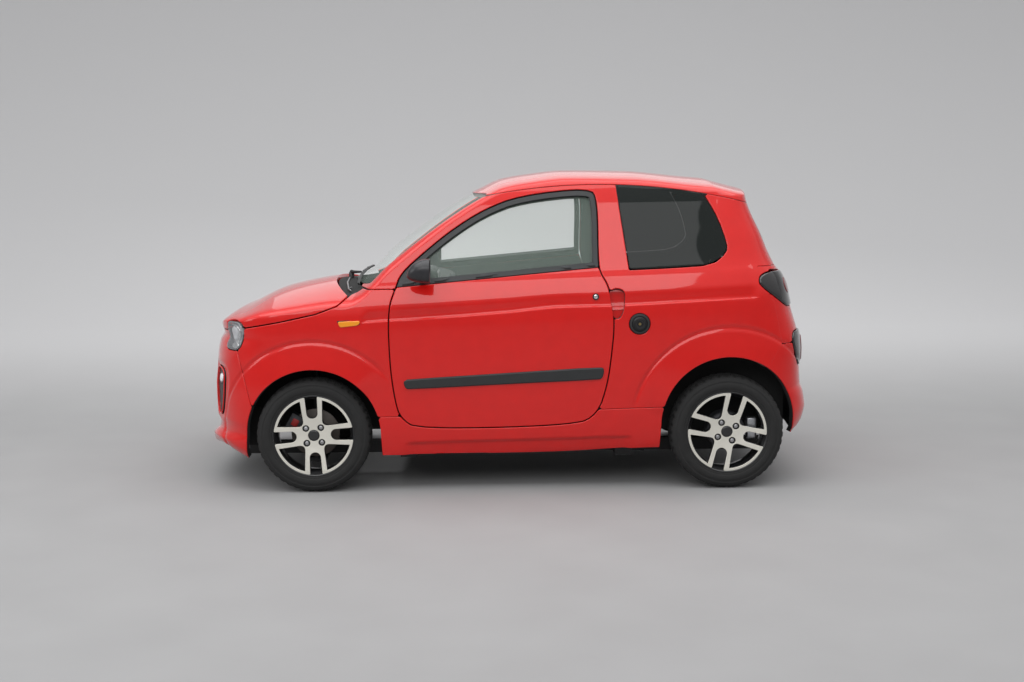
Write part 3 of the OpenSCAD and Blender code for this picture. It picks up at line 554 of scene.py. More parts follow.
# Outlines seen from the side, in mm
DOOR_F = side(poly(soften([
    (-425, 300), (314, 312), (422, 364), (468, 510), (487, 654), (500, 800), (484, 912), (469, 978),
    (433, 1036), (427, 1100), (429, 1369), (395, 1426), (64, 1391), (-102, 1329), (-253, 1237), (-389, 1130),
    (-498, 1033), (-523, 965), (-551, 892), (-558, 785), (-551, 588), (-531, 435), (-507, 354)], 2)))


def belt(p):
    """Below zero above the line under the door's window frame."""
    return 972 + 0.0905 * (p[:, 0] + 500) - p[:, 2]


def sail(p):
    """Below zero behind the plate that carries the mirror."""
    return np.interp(p[:, 2], [1000, 1110], [-357, -382]) - p[:, 0]


GRIP_F = side(poly(soften([(474, 962), (550, 957), (548, 880), (532, 824), (508, 814), (490, 850)], 2)))
WINDOW_F = both(grow(DOOR_F, -28.0), grow(belt, -27.0), sail)
QUARTER_F = side(poly(soften([
    (521, 1448), (530, 1448), (700, 1438), (915, 1410), (946, 1371), (996, 1277), (1034, 1161), (1030, 1122),
    (962, 1066), (780, 1054), (582, 1046), (573, 1046), (572, 1054), (523, 1416)], 1)))


def roof_line(p):
    return 1442 - 1.75e-4 * (p[:, 0] - 433) ** 2 - p[:, 2]


HOOD_SIDE = side(poly([(-1560, 744), (-1390, 752), (-1300, 768), (-1220, 785), (-1051, 816), (-896, 849),
                       (-797, 886), (-738, 936), (-716, 975), (-716, 1300), (-1560, 1300)]))


def past_hood(d=0.0):
    """Below zero from d behind the hood's rear edge on, a wide arc in plan."""
    return lambda p: np.hypot(p[:, 0] - (HOOD_X + HOOD_R), p[:, 1]) - (HOOD_R - d)


def split(p):
    """Below zero ahead of the seam from the headlamp down to the arch."""
    z = p[:, 2]
    x = np.interp(z, [400, 560, 690], [-1205, -1248, -1284])
    return (p[:, 0] - x) * 0.96


def tail_split(p):
    """Below zero behind the seam ahead of the tail lamps."""
    x = np.interp(p[:, 2], [0, 560, 690, 880, 1000], [1215, 1215, 1300, 1262, 1180])
    return (x - p[:, 0]) * 0.93


def above(z0):
    return lambda p: z0 - p[:, 2]


def below(z0):
    return lambda p: p[:, 2] - z0


def ahead(x0):
    return lambda p: p[:, 0] - x0


def behind(x0):
    return lambda p: x0 - p[:, 0]


def wide(y0):
    """Below zero outside |y| = y0."""
    return lambda p: y0 - abs(p[:, 1])


def from_back(right, times):
    """Outline seen from behind: its right half from the foot up, and the same mirrored."""
    return back(poly(soften(right + [(-y, z) for y, z in right[::-1]], times)))


SCREEN_F = both(from_back([(520, 962), (592, 962), (616, 985), (606, 1030), (536, 1340), (524, 1380),
                           (500, 1396), (430, 1396)], 3), past_hood(105), ahead(-60))
HATCH_F = both(from_back([(250, 1062), (540, 1066), (495, 1376), (250, 1380)], 2), behind(1000))


def arch(ax, az, r):
    """Round above the centre, and straight sides that lean out a little below it."""
    def f(p):
        dx, dz = abs(p[:, 0] - ax), p[:, 2] - az
        return np.where(dz > 0, np.hypot(dx, dz) - r, dx - r - 0.05 * np.maximum(-dz, 0))
    return f


ARCH_F = either(*[arch(*a[:3]) for a in ARCHES])
LAMPS_F = either(*[lamp_area(q, 2) for q in (HEAD, POD, TAIL_LAMP, LOW_LAMP)])
LOCK_AT, CAP_AT = (412, 922), (617, 794)    # x and z of the door lock and of the fuel cap
CAP_F = disc(*CAP_AT, 50)


def sill_top(p):
    """Below zero below the seam over the sill."""
    return p[:, 2] - np.interp(p[:, 0], [-700, -500, 800], [360, 362, 398])


# Body panels and panes
GAP = 2.5     # half of a shut gap
SEAM = 0.9    # half of a fixed seam

half, coarse = half_surface(), half_surface(3)
whole, even, rough_whole = full_surface(), full_surface(2), full_surface(3)
TAIL_TOP, BUMPER_TOP, WING_TOP = 1056, 690, 962    # heights of fixed seams
SIDES = (("left", False), ("right", True))


def put(ob, body, nodes, slot):
    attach(ob, body)
    if nodes:
        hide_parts(*nodes)


for word, flip in SIDES:
    door = f"door_{word}"
    door_f = grow(DOOR_F, -GAP)
    put(panel(f"door_skin_{word}", half, both(door_f, out(belt)), [RED, INNER], r=4, t=50, inner=(coarse, 50),
              flip=flip, wall=1), door, [door], "body_red")
    put(panel(f"door_frame_{word}", half, both(door_f, grow(belt, -0.5), out(WINDOW_F)),
              [FRAME, INNER, RUBBER], r=3, t=40, drop=1.5, inner=(coarse, 40), flip=flip, wall=2, edge=2),
        door, [], "black_plastic")
    rail = both(grow(DOOR_F, -7), grow(belt, -6), out(grow(belt, -25)))
    put(panel(f"waist_rail_{word}", half, rail, [FRAME], r=8, t=12, drop=-4, flip=flip), door, [],
        "black_plastic")
    put(panel(f"door_pane_{word}", coarse, grow(WINDOW_F, 5), [CLEAR], r=1, t=5, drop=16, flip=flip, arc=2),
        door, [f"door_glass_{word}"], "clear_glass")
    wall = both(behind(-700), out(roof_line, SEAM), out(DOOR_F, GAP), out(QUARTER_F, 3),
                out(both(tail_split, below(TAIL_TOP))), out(ARCH_F), out(SCREEN_F, 5), out(HATCH_F, 5),
                out(LAMPS_F), out(sill_top, SEAM), out(GRIP_F), either(above(WING_TOP + 1), behind(-450)),
                wide(470))
    if not flip:
        wall = both(wall, out(CAP_F))
    put(panel(f"body_side_{word}", half, wall, [RED, INNER], r=4, t=50, inner=(coarse, 50), flip=flip,
              wall=1), "body", [f"side_panel_{word}"], "body_red")
    put(panel(f"grip_pocket_{word}", coarse, grow(GRIP_F, 5), [RED], r=2, t=4, drop=26, flip=flip), "body",
        [], "body_red")
    put(panel(f"quarter_pane_{word}", coarse, grow(QUARTER_F, -1), [DARK], r=1.5, t=6, drop=3, flip=flip,
              arc=2), "body", [f"quarter_glass_{word}"], "dark_glass")
    wing = both(out(split, SEAM), out(HOOD_SIDE, GAP), out(DOOR_F, GAP), out(ARCH_F), out(LAMPS_F),
                out(sill_top, SEAM), below(WING_TOP - SEAM), wide(590), ahead(-430))
    put(panel(f"wing_skin_{word}", half, wing, [RED, LINER], r=3.5, t=24, inner=(coarse, 24), flip=flip,
              wall=1), "body", [f"front_wing_{word}"], "body_red")
    sill = both(sill_top, out(DOOR_F, GAP), out(ARCH_F), behind(-700), ahead(800), wide(560))
    put(panel(f"sill_skin_{word}", half, sill, [RED, LINER], r=4, t=26, inner=(coarse, 40), flip=flip,
              wall=1), "body", [f"sill_{word}"], "body_red")

put(panel("roof_skin", even, both(roof_line, behind(-400), out(SCREEN_F, 5), out(HATCH_F, 5)),
          [RED, HEADLINER], r=3, t=24, inner=(rough_whole, 24), wall=1), "body", ["roof_panel"], "body_red")
put(panel("hood_skin", even, both(grow(HOOD_SIDE, -GAP), out(past_hood()), out(LAMPS_F, 4)), [RED, LINER],
          r=4, t=24, inner=(rough_whole, 24)), "hood", ["hood"], "body_red")
put(panel("windscreen_pane", even, SCREEN_F, [CLEAR], r=1.5, t=6, drop=3, arc=2), "body", ["windscreen"],
    "clear_glass")
cowl = both(past_hood(9), out(past_hood(104)), out(wide(606)), above(900), ahead(-600))
put(panel("cowl_skin", even, cowl, [LINER], r=3, t=24, drop=16, inner=(rough_whole, 20)), "body",
    ["cowl_panel"], "black_plastic")
MOUTHS = [(318, 62, 330), (640, 26, 300)]


def mouth(p, d=0.0):
    f = 1e9
    for z, h, w in MOUTHS:
        u = np.maximum(abs(p[:, 1]) - (w - h), 0)
        f = np.minimum(f, np.hypot(u, p[:, 2] - z) - h - d)
    return np.where(p[:, 0] < -1300, f, FAR)


nose = both(split, out(HOOD_SIDE, GAP), out(ARCH_F), out(LAMPS_F), out(mouth))
put(panel("front_bumper_skin", whole, nose, [RED, LINER], r=4, t=24, inner=(rough_whole, 24), wall=1), "body",
    ["front_bumper"], "body_red")
put(panel("mouth_back", rough_whole, lambda p: mouth(p, 14), [LINER], r=2, t=4, drop=40), "body", [],
    "black_plastic")
rear = grow(tail_split, 14)
tail = both(rear, below(TAIL_TOP), above(BUMPER_TOP), out(HATCH_F, 5), out(LAMPS_F))
put(panel("tail_skin", even, tail, [RED, INNER], r=4, t=24, drop=0.6, inner=(rough_whole, 24)), "body",
    ["tail_panel"], "body_red")
bumper = both(rear, below(BUMPER_TOP - 2 * SEAM), out(ARCH_F), out(LAMPS_F))
put(panel("rear_bumper_skin", whole, bumper, [RED, LINER], r=4, t=24, drop=0.6, inner=(rough_whole, 24),
          wall=1), "body", ["rear_bumper"], "body_red")
put(panel("hatch_pane", even, HATCH_F, [DARK], r=2, t=6, drop=2, arc=2), "hatch", ["hatch_glass"],
    "dark_glass")


# Small solids
def lathe(name, rows, mats, steps=96, mi=None):
    """Turned solid about y: rows of (radius, y)."""
    rows = np.array(rows, float)
    a = angles(steps)
    v = np.stack([np.outer(np.cos(a), rows[:, 0]), np.tile(rows[:, 1], (steps, 1)),
                  np.outer(np.sin(a), rows[:, 0])], 2)
    m = len(rows)
    faces, idx = [], []
    for i in range(steps):
        k = (i + 1) % steps
        for j in range(m - 1):
            faces.append((i * m + j, k * m + j, k * m + j + 1, i * m + j + 1))
            idx.append(mi[j] if mi else 0)
    return make(name, v.reshape(-1, 3), faces, mats, idx)


def auto_smooth(ob, angle=35):
    ob.data.polygons.foreach_set("use_smooth", np.ones(len(ob.data.polygons), bool))
    ob.data.set_sharp_from_angle(angle=math.radians(angle))


def shift(x, y, z):
    return Matrix.Translation(Vector((x, y, z)) * MM)


def place(ob, at, flip=False):
    """Moves a piece drawn about the origin to its place, mirrored for the right side."""
    me = ob.data
    m = shift(*at)
    if flip:
        m = m @ Matrix.Scale(-1, 4, (0, 1, 0))
    me.transform(m)
    if flip:
        me.flip_normals()
    return ob


def turned(ob, deg, axis="Y"):
    ob.data.transform(Matrix.Rotation(math.radians(deg), 4, axis))
    return ob


def join(name, obs):
    """One piece from several, with each its own materials."""
    verts, faces, idx, mats = [], [], [], []
    for ob in obs:
        me = ob.data
        base = len(verts)
        verts += [tuple(v.co) for v in me.vertices]
        ids = []
        for m in me.materials:
            if m not in mats:
                mats.append(m)
            ids.append(mats.index(m))
        for q in me.polygons:
            faces.append([base + k for k in q.vertices])
            idx.append(ids[q.material_index] if ids else 0)
    for ob in obs:
        bpy.data.objects.remove(ob)
    ob = make(name, np.array(verts) / MM, faces, mats, idx)
    auto_smooth(ob)
    return ob


def block(name, size, mats, bevel=6.0, segs=3, at=(0, 0, 0)):
    """Box with rounded edges, about a place."""
    bm = bmesh.new()
    bmesh.ops.create_cube(bm, size=1)
    for v in bm.verts:
        v.co = Vector([c * s + a for c, s, a in zip(v.co, size, at)]) * MM
    bmesh.ops.bevel(bm, geom=bm.edges[:] + bm.verts[:], offset=bevel * MM, segments=segs, profile=0.5,
                    affect="EDGES", clamp_overlap=True)
    me = bpy.data.meshes.new(name)
    bm.to_mesh(me)
    bm.free()
    for m in mats:
        me.materials.append(m)
    ob = bpy.data.objects.new(name, me)
    bpy.context.scene.collection.objects.link(ob)
    auto_smooth(ob)
    return ob


def tube(name, pts, r, mats, steps=12, closed=False):
    """Round bar along points."""
    p = np.array(pts, float)
    if closed:
        t = np.roll(p, -1, 0) - np.roll(p, 1, 0)
    else:
        t = np.gradient(p, axis=0)
    t /= np.linalg.norm(t, axis=1, keepdims=True)
    ref = np.array([0.0, 0, 1]) if abs(t[0][2]) < 0.9 else np.array([1.0, 0, 0])
    rs = np.broadcast_to(np.asarray(r, float), (len(p),))
    rings = []
    n = np.cross(t[0], ref)
    for k in range(len(p)):
        n = n - t[k] * np.dot(n, t[k])
        n /= np.linalg.norm(n)
        b = np.cross(t[k], n)
        a = angles(steps)[:, None]
        rings.append(p[k] + rs[k] * (np.cos(a) * n + np.sin(a) * b))
    v = np.concatenate(rings)
    faces = []
    m = len(p)
    for k in range(m if closed else m - 1):
        q = (k + 1) % m
        for i in range(steps):
            j = (i + 1) % steps
            faces.append((k * steps + i, k * steps + j, q * steps + j, q * steps + i))
    if not closed:
        faces.append(tuple(range(steps))[::-1])
        faces.append(tuple((m - 1) * steps + i for i in range(steps)))
    ob = make(name, v, faces, mats)
    auto_smooth(ob, 50)
    return ob


# Road wheels
TYRE = plain("tyre_rubber", (0.012, 0.012, 0.012), 0.8, scale=700, strength=0.25, tint=0.25)
ALLOY = plain("alloy_machined", (0.80, 0.78, 0.70), 0.38, metal=0.6, scale=500, strength=0.02, tint=0.03)
GLOSS_BLACK = plain("wheel_black", (0.010, 0.010, 0.011), 0.3, coat=0.4, scale=600, strength=0.02)
STEEL = plain("bare_steel", (0.42, 0.42, 0.43), 0.38, metal=1.0, scale=300, strength=0.1, tint=0.2)
DARK_STEEL = plain("dark_steel", (0.055, 0.055, 0.06), 0.55, metal=0.6, scale=300, strength=0.2, tint=0.25)
DISC = plain("brake_disc", (0.10, 0.088, 0.08), 0.5, metal=0.7, scale=260, strength=0.15, tint=0.3)
SILVER = plain("lamp_silver", (0.5, 0.51, 0.53), 0.3, metal=0.9, scale=120, strength=0.25, tint=0.08,
               dist=0.001)
CALIPER = plain("caliper_red", (0.30, 0.012, 0.010), 0.5, scale=500, strength=0.1)
CHROME = plain("bright_metal", (0.8, 0.8, 0.8), 0.12, metal=1.0, strength=0.0, tint=0.02, spread=0.03)


def tyre():
    """Tyre with rib grooves, shoulder blocks and a stepped side wall."""
    b, r, h = 188.0, 272.0, 72.5    # bead, tread, half of the width
    side_rows = [(b - 2, h - 20), (b, h - 14), (b + 7, h - 7), (b + 14, h - 4.5), (b + 18, h - 4.5),
                 (b + 20, h - 2.5), (b + 24, h - 1.2), (b + 34, h), (b + 44, h - 0.6), (b + 46, h - 2.0),
                 (b + 54, h - 3.2), (b + 56, h - 2.4), (b + 63, h - 5.2), (b + 70, h - 10),
                 (b + 75, h - 15.5), (r - 5.4, h - 20), (r - 3.6, h - 26), (r - 2.6, h - 31)]
    tread = [(r - 1.8, 36), (r - 9, 35), (r - 9, 29), (r - 1.2, 28), (r - 0.5, 14), (r - 0.4, 12.5),
             (r - 8, 11.5), (r - 8, 5.5), (r, 4.5), (r, 0)]
    half_rows = side_rows + tread
    rows = np.array(half_rows + [(q, -y) for q, y in half_rows[::-1][1:]])
    steps = 264
    a = angles(steps)
    rr = np.tile(rows[:, 0], (steps, 1))
    yy = np.tile(rows[:, 1], (steps, 1))
    # of every six steps, two are a groove across the shoulder and one is a shallow groove over the tread
    beat = np.arange(steps)[:, None] % 6
    outer = abs(rows[:, 1]) > 27
    rr = rr - np.where((beat < 2) & outer & (rows[:, 0] > r - 7), 5.5, 0)
    rr = rr - np.where((beat == 3) & ~outer & (rows[:, 0] > r - 3), 3.0, 0)
    v = np.stack([np.cos(a)[:, None] * rr, yy, np.sin(a)[:, None] * rr], 2)
    m = len(rows)
    faces = []
    for i in range(steps):
        k = (i + 1) % steps
        for j in range(m - 1):
            faces.append((i * m + j, i * m + j + 1, k * m + j + 1, k * m + j))
    ob = make("tyre", v.reshape(-1, 3), faces, [TYRE])
    auto_smooth(ob, 40)
    return ob


BOLT_R = 50
BOLTS = [(BOLT_R * math.cos(a), BOLT_R * math.sin(a)) for a in angles(4) + math.pi / 4]


def rim_face():
    """Front of the rim: four pairs of spokes, hub and thin outer ring."""
    nr, na = 64, 320
    rho = np.linspace(18, 192, nr)
    a = np.linspace(0, 2 * math.pi, na + 1)
    depth = np.interp(rho, [0, 30, 60, 100, 150, 172, 192], [50, 50, 52, 57, 62, 64, 64])
    v = np.stack([np.outer(rho, np.cos(a)), np.repeat(-depth[:, None], na + 1, 1),
                  np.outer(rho, np.sin(a))], 2)
    v[:, -1] = v[:, 0]
    n = np.cross(np.gradient(v, axis=0), np.gradient(v, axis=1))
    n /= np.linalg.norm(n, axis=2, keepdims=True) + 1e-12
    n = np.where(n[:, :, 1:2] > 0, -n, n)
    n[:, -1] = n[:, 0]
    i, j = np.meshgrid(np.arange(nr - 1), np.arange(na), indexing="ij")
    jn = (j + 1) % na
    q = lambda ii, jj: (ii * (na + 1) + jj).ravel()
    t = np.concatenate([np.stack([q(i, j), q(i + 1, j), q(i + 1, jn)], 1),
                        np.stack([q(i, j), q(i + 1, jn), q(i, jn)], 1)])
    v, n = v.reshape(-1, 3), n.reshape(-1, 3)
    e1, e2 = v[t[:, 1]] - v[t[:, 0]], v[t[:, 2]] - v[t[:, 0]]
    wrong = (np.cross(e1, e2)[:, 1] > 0)
    t[wrong] = t[wrong][:, ::-1]

    def f(p):
        u, w = p[:, 0], p[:, 2]
        rad = np.hypot(u, w)
        cross = smin(abs(w) - 39 - 0.08 * abs(u), abs(u) - 39 - 0.08 * abs(w), 34.0)
        slots = 1e9
        for c, s in ((1, 0), (-1, 0), (0, 1), (0, -1)):
            along = u * c + w * s
            off = np.hypot(np.maximum(0, 106 - along), w * c - u * s)
            slots = np.minimum(slots, off - 22.5 - 0.036 * along)
        ring = abs(rad - 181.5) - 6.2
        bolts = 1e9
        for x, z in BOLTS:
            bolts = np.minimum(bolts, np.hypot(u - x, w - z) - 16)
        shape = np.minimum(np.maximum(cross, rad - 187), ring)
        return np.maximum.reduce([shape, -slots, -bolts, 27 - rad])
    return panel("rim_face", (v, n, t), f, [ALLOY, GLOSS_BLACK], r=1.4, t=24, wall=1, arc=2)


def bolt_set():
    obs = []
    for x, z in BOLTS:
        cup = lathe("cup", [(17, -51), (17, -38), (0.01, -38)], [GLOSS_BLACK], 24)
        nut = lathe("nut", [(0.01, -50), (7, -50), (9.6, -48.5), (10.5, -46), (10.5, -37)], [STEEL], 6)
        obs += [place(ob, (x, 0, z)) for ob in (cup, nut)]
    cap = lathe("cap", [(0.01, -53), (14, -53), (20, -52.4), (24, -51.2), (26, -49), (26.5, -46), (27.5, -46),
                        (28, -44), (28, -38)], [GLOSS_BLACK], 48)
    obs.append(cap)
    return join("bolts", obs)


def hub(front):
    """Disc and its bell at the front, drum at the rear."""
    if front:
        ob = lathe("hub", [(14.5, -30), (62, -30), (64, -26), (64, 18), (72, 21), (113, 21), (115, 22),
                           (115, 30), (113, 31), (60, 31), (58, 28), (14.5, 28)], [DISC], 96)
    else:
        ob = lathe("hub", [(14.5, -32), (60, -32), (66, -28), (86, -24), (91, -18), (92, 0), (92, 34),
                           (94, 36), (94, 40), (88, 40), (14.5, 40)], [DARK_STEEL], 72)
    auto_smooth(ob, 30)
    return ob


BARREL = [(176, -46), (187, -62), (190, -66), (193, -66.5), (194.5, -64), (192, -59), (184, -54), (180, -40),
          (180, 52), (188, 58), (192, 62), (192, 65), (186, 65), (176, 50), (172, 0), (172, -40), (176, -46)]


def wheel(word, front, deg, flip):
    at = ((FX if front else RX), (WY if flip else -WY), AZ)
    for ob, name, nodes, slot in (
            (tyre(), f"tyre_{word}_full", [f"tyre_{word}"], "tyre"),
            (turned(rim_face(), deg), f"rim_{word}_face", [f"rim_{word}"], "alloy"),
            (turned(bolt_set(), deg), f"rim_{word}_bolts", [], "steel"),
            (lathe("barrel", BARREL, [GLOSS_BLACK], 120), f"rim_{word}_barrel", [], "alloy"),
            (hub(front), f"hub_{word}", [], "steel")):
        ob.name = name
        put(place(ob, at, flip), f"wheel_{word}", nodes, slot)


CALIPER_R, CALIPER_DEG = 108, 210    # its place on the front disc
for word, flip in SIDES:
    wheel(f"front_{word}", True, -3, flip)
    wheel(f"rear_{word}", False, 14, flip)
    s = 1 if flip else -1
    k = math.radians(CALIPER_DEG)
    cal = join(f"caliper_{word}", [block("c", (62, 62, 60), [DARK_STEEL], 9, 3),
                                   block("c", (36, 66, 40), [CALIPER], 7, 3)])
    turned(cal, CALIPER_DEG)
    put(place(cal, (FX + CALIPER_R * math.cos(k), s * (WY - 26), AZ - CALIPER_R * math.sin(k))),
        f"knuckle_{word}", [], "steel")
    grip = join(f"rear_brake_{word}", [block("a", (48, 44, 104), [SILVER], 8, 3, (128, 24 * -s, 5)),
                                       block("b", (22, 60, 60), [DARK_STEEL], 4, 2, (112, 74 * -s, 5)),
                                       block("c", (124, 10, 60), [DARK_STEEL], 3, 2, (62, 100 * -s, 5))])
    put(place(grip, (RX, s * WY, AZ)), "body", [], "steel")

# Lamps and small outside pieces
LENS = glass("lamp_lens", (0.42, 0.43, 0.45), 0.42, 0.06)
SMOKE = plain("smoked_lens", (0.012, 0.011, 0.012), 0.12, coat=0.6, scale=400, strength=0.01, tint=0.02,
              spread=0.03)
LAMP_RED = plain("lamp_red", (0.16, 0.008, 0.01), 0.15, coat=0.6, scale=400, strength=0.02, spread=0.03)
AMBER = plain("lamp_amber", (0.85, 0.30, 0.01), 0.22, coat=0.5, scale=260, strength=0.12, tint=0.06,
              spread=0.04)
LIT = plain("lamp_bulb", (0.92, 0.94, 0.97), 0.2, coat=0.5, strength=0.0, tint=0.01)


def edge_loop(surface, f, lift, flip, gap=9.0):
    """Evenly spaced points along the outline of an area, lifted off the surface."""
    v, n, t = clip(*surface, f(surface[0]))
    nxt = dict(rim_edges(v, t).tolist())
    best, left = [], set(nxt)
    while left:
        a = left.pop()
        loop = [a]
        while nxt.get(loop[-1]) in left:
            loop.append(nxt[loop[-1]])
            left.discard(loop[-1])
        best = loop if len(loop) > len(best) else best
    p = v[best] + n[best] * lift
    p = np.concatenate([p, p[:1]])
    a = np.concatenate([[0], np.cumsum(np.linalg.norm(np.diff(p, axis=0), axis=1))])
    g = np.linspace(0, a[-1], max(12, int(a[-1] / gap)), endpoint=False)
    p = np.stack([np.interp(g, a, p[:, k]) for k in range(3)], 1)
    for _ in range(3):
        p = 0.5 * p + 0.25 * (np.roll(p, 1, 0) + np.roll(p, -1, 0))
    return mirror_y(p)[::-1] if flip else p


def skin_at(x, z):
    """Point of the left side's skin at x, z."""
    p, n, _ = half
    return p[np.argmin(np.where(n[:, 1] < -0.5, (p[:, 0] - x) ** 2 + (p[:, 2] - z) ** 2, 1e12))]


def layers(rows, flip):
    """Panels cut out of the left half: rows of (area, material, edge radius, depth, drop)."""
    return [panel("layer", half, f, [mat], r=r, t=t, drop=drop, flip=flip) for f, mat, r, t, drop in rows]


for word, flip in SIDES:
    head = layers([
        (lamp_area(HEAD, -2), LENS, 5, 10, -3),
        (lamp_area(HEAD, 0), SILVER, 2, 16, 24),
        (both(lamp_area(HEAD, 1), out(lamp_area(HEAD, -5))), BLACK, 1.5, 26, 2),
        (spot(-1290, -585, 750, 46, 46, 46), CHROME, 9, 10, 14),
        (spot(-1290, -585, 750, 32, 32, 46), LIT, 9, 6, 8),
        (spot(-1285, -590, 693, 40, 18, 46), CHROME, 6, 8, 14)], flip)
    put(join(f"headlamp_{word}", head), "body", [f"front_lamps_{word}"], "front_lens")
    bulb, bezel = (spot(-1386, -494, 524, r, r, 34) for r in (22, 27))
    pod = [tube("rim", edge_loop(half, lamp_area(POD, -3), 4, flip), 3.2, [RED], 10, True)]
    pod += layers([
        (lamp_area(POD, -4), BLACK, 2, 10, 4),
        (bulb, LIT, 7, 12, -4),
        (both(bezel, out(bulb)), SILVER, 1.5, 12, -2)], flip)
    put(join(f"driving_lamp_{word}", pod), "body", [], "front_lens")
    tail_set = layers([
        (lamp_area(TAIL_LAMP, -1), SMOKE, 7, 20, -5),
        (spot(1330, -560, 960, 44, 40, 150), LAMP_RED, 6, 6, -8)], flip)
    put(join(f"tail_lamp_{word}", tail_set), "body", [f"rear_lamps_{word}"], "rear_lens")
    low_set = layers([
        (lamp_area(LOW_LAMP, -1), SMOKE, 6, 20, -5),
        (spot(1430, -500, 650, 30, 70, 160), LAMP_RED, 5, 6, -8)], flip)
    put(join(f"low_lamp_{word}", low_set), "body", [], "rear_lens")
    amber = side(poly([(-794, 815), (-682, 819), (-697, 797), (-781, 788)]))
    blink = layers([
        (amber, AMBER, 3, 8, -4),
        (both(grow(amber, 4), out(amber)), BLACK, 1, 6, -0.8)], flip)
    put(join(f"indicator_{word}", blink), "body", [], "front_lens")
    strip_f = side(poly(soften([(-492, 536), (-478, 541), (0, 568), (442, 593), (452, 580), (444, 538),
                                (430, 532), (0, 515), (-470, 493), (-484, 500)], 1)))
    put(panel(f"rub_strip_{word}", half, strip_f, [TRIM], r=7, t=12, drop=-9, flip=flip), f"door_{word}",
        [f"door_trim_{word}"], "trim_grey")
    lock = lathe(f"door_lock_{word}", [(0.01, -2), (2.5, -2), (3, -3.4), (9, -3.2), (10.5, -2), (11, -1.5),
                                       (12, -4), (14.5, -4), (15.5, -1), (15.5, 8)], [CHROME, BLACK], 32,
                 [0] * 5 + [1] * 4)
    auto_smooth(lock, 40)
    y = skin_at(*LOCK_AT)[1]
    put(place(lock, (LOCK_AT[0], -y if flip else y, LOCK_AT[1]), flip), f"door_{word}", [], "trim_grey")

BRASS = plain("key_brass", (0.55, 0.40, 0.16), 0.35, metal=1.0, scale=300, strength=0.05)
cap = lathe("cap", [(0.01, -10), (6, -10), (7, -6), (16, -6), (17, -12), (24, -12.5), (27, -7), (34, -5),
                    (36, -3), (38, -9), (45, -8), (48, -4), (48.5, 0), (48.5, 30)], [BLACK, TRIM], 64,
            [0] * 8 + [1] * 5)
key = lathe("key", [(2.0, -6), (2.2, -9), (5.4, -9), (6.2, -7), (6.2, 4)], [BRASS], 28)
y = skin_at(*CAP_AT)[1]
for ob, lift in ((cap, 4), (key, 0.5)):
    place(ob, (CAP_AT[0], y + lift, CAP_AT[1]))
put(join("fuel_cap_set", [cap, key]), "body", ["fuel_cap"], "black_plastic")


# Mirrors
def loft(name, rings, mats, end=0):
    """Skin over closed rings of equal length, with both ends shut; end = material of the last one."""
    rings = np.array(rings, float)
    m, k = rings.shape[:2]
    faces = [(a * k + b, a * k + (b + 1) % k, (a + 1) * k + (b + 1) % k, (a + 1) * k + b)
             for a in range(m - 1) for b in range(k)]
    idx = [0] * len(faces) + [0, end]
    faces += [tuple(range(k))[::-1], tuple((m - 1) * k + b for b in range(k))]
    ob = make(name, rings.reshape(-1, 3), faces, mats, idx)
    bm = bmesh.new()
    bm.from_mesh(ob.data)
    bmesh.ops.recalc_face_normals(bm, faces=bm.faces[:])
    bm.to_mesh(ob.data)
    bm.free()
    auto_smooth(ob, 42)
    return ob


def oval(n, k=48):
    a = angles(k)
    c, s = np.cos(a), np.sin(a)
    return np.stack([np.sign(c) * abs(c) ** (2 / n), np.sign(s) * abs(s) ** (2 / n)], 1)


MIRROR_Y = -811.0
MIRROR = [    # x, middle height, half width, half height
    (-463, 1034, 3, 3), (-460, 1036, 17, 13), (-452, 1041, 31, 25), (-438, 1046, 43, 37),
    (-420, 1050, 51, 46), (-400, 1053, 56, 52), (-380, 1054, 58.5, 55.5), (-364, 1054, 59, 56.5),
    (-358, 1054, 58, 55.5), (-356, 1054, 55.5, 53), (-357, 1054, 53.5, 51), (-366, 1054, 52.5, 50)]
MIRROR_GREY = plain("mirror_grey", (0.020, 0.020, 0.023), 0.3, scale=1300, strength=0.12)
for word, flip in SIDES:
    o = oval(2.3)
    rings = [np.stack([np.full(len(o), x), MIRROR_Y + w * o[:, 0], z + h * o[:, 1]], 1)
             for x, z, w, h in MIRROR]
    house = loft("house", rings, [MIRROR_GREY, CHROME], 1)
    foot = skin_at(-392, 1010)[1]
    stalk = tube("stalk", [(-404, -778, 1020), (-401, -758, 1013), (-397, -735, 1009), (-394, foot - 4, 1008),
                           (-394, foot + 14, 1008)], [15, 15, 16, 19, 22], [BLACK], 20)
    mirror = join(f"door_mirror_{word}", [house, stalk])
    put(place(mirror, (0, 0, 0), flip), f"door_{word}", [], "trim_grey")

# Wiper and linkage in the cowl
TOPS = whole[0][(whole[0][:, 2] > 850) & (whole[1][:, 2] > 0.1) & (whole[0][:, 0] < -300)]


def top_at(x, y):
    k = np.argsort((TOPS[:, 0] - x) ** 2 + (TOPS[:, 1] - y) ** 2)[:4]
    return TOPS[k, 2].mean()


def over_screen(pts, lift):
    return [(x, y, top_at(x, y) + lift) for x, y in pts]


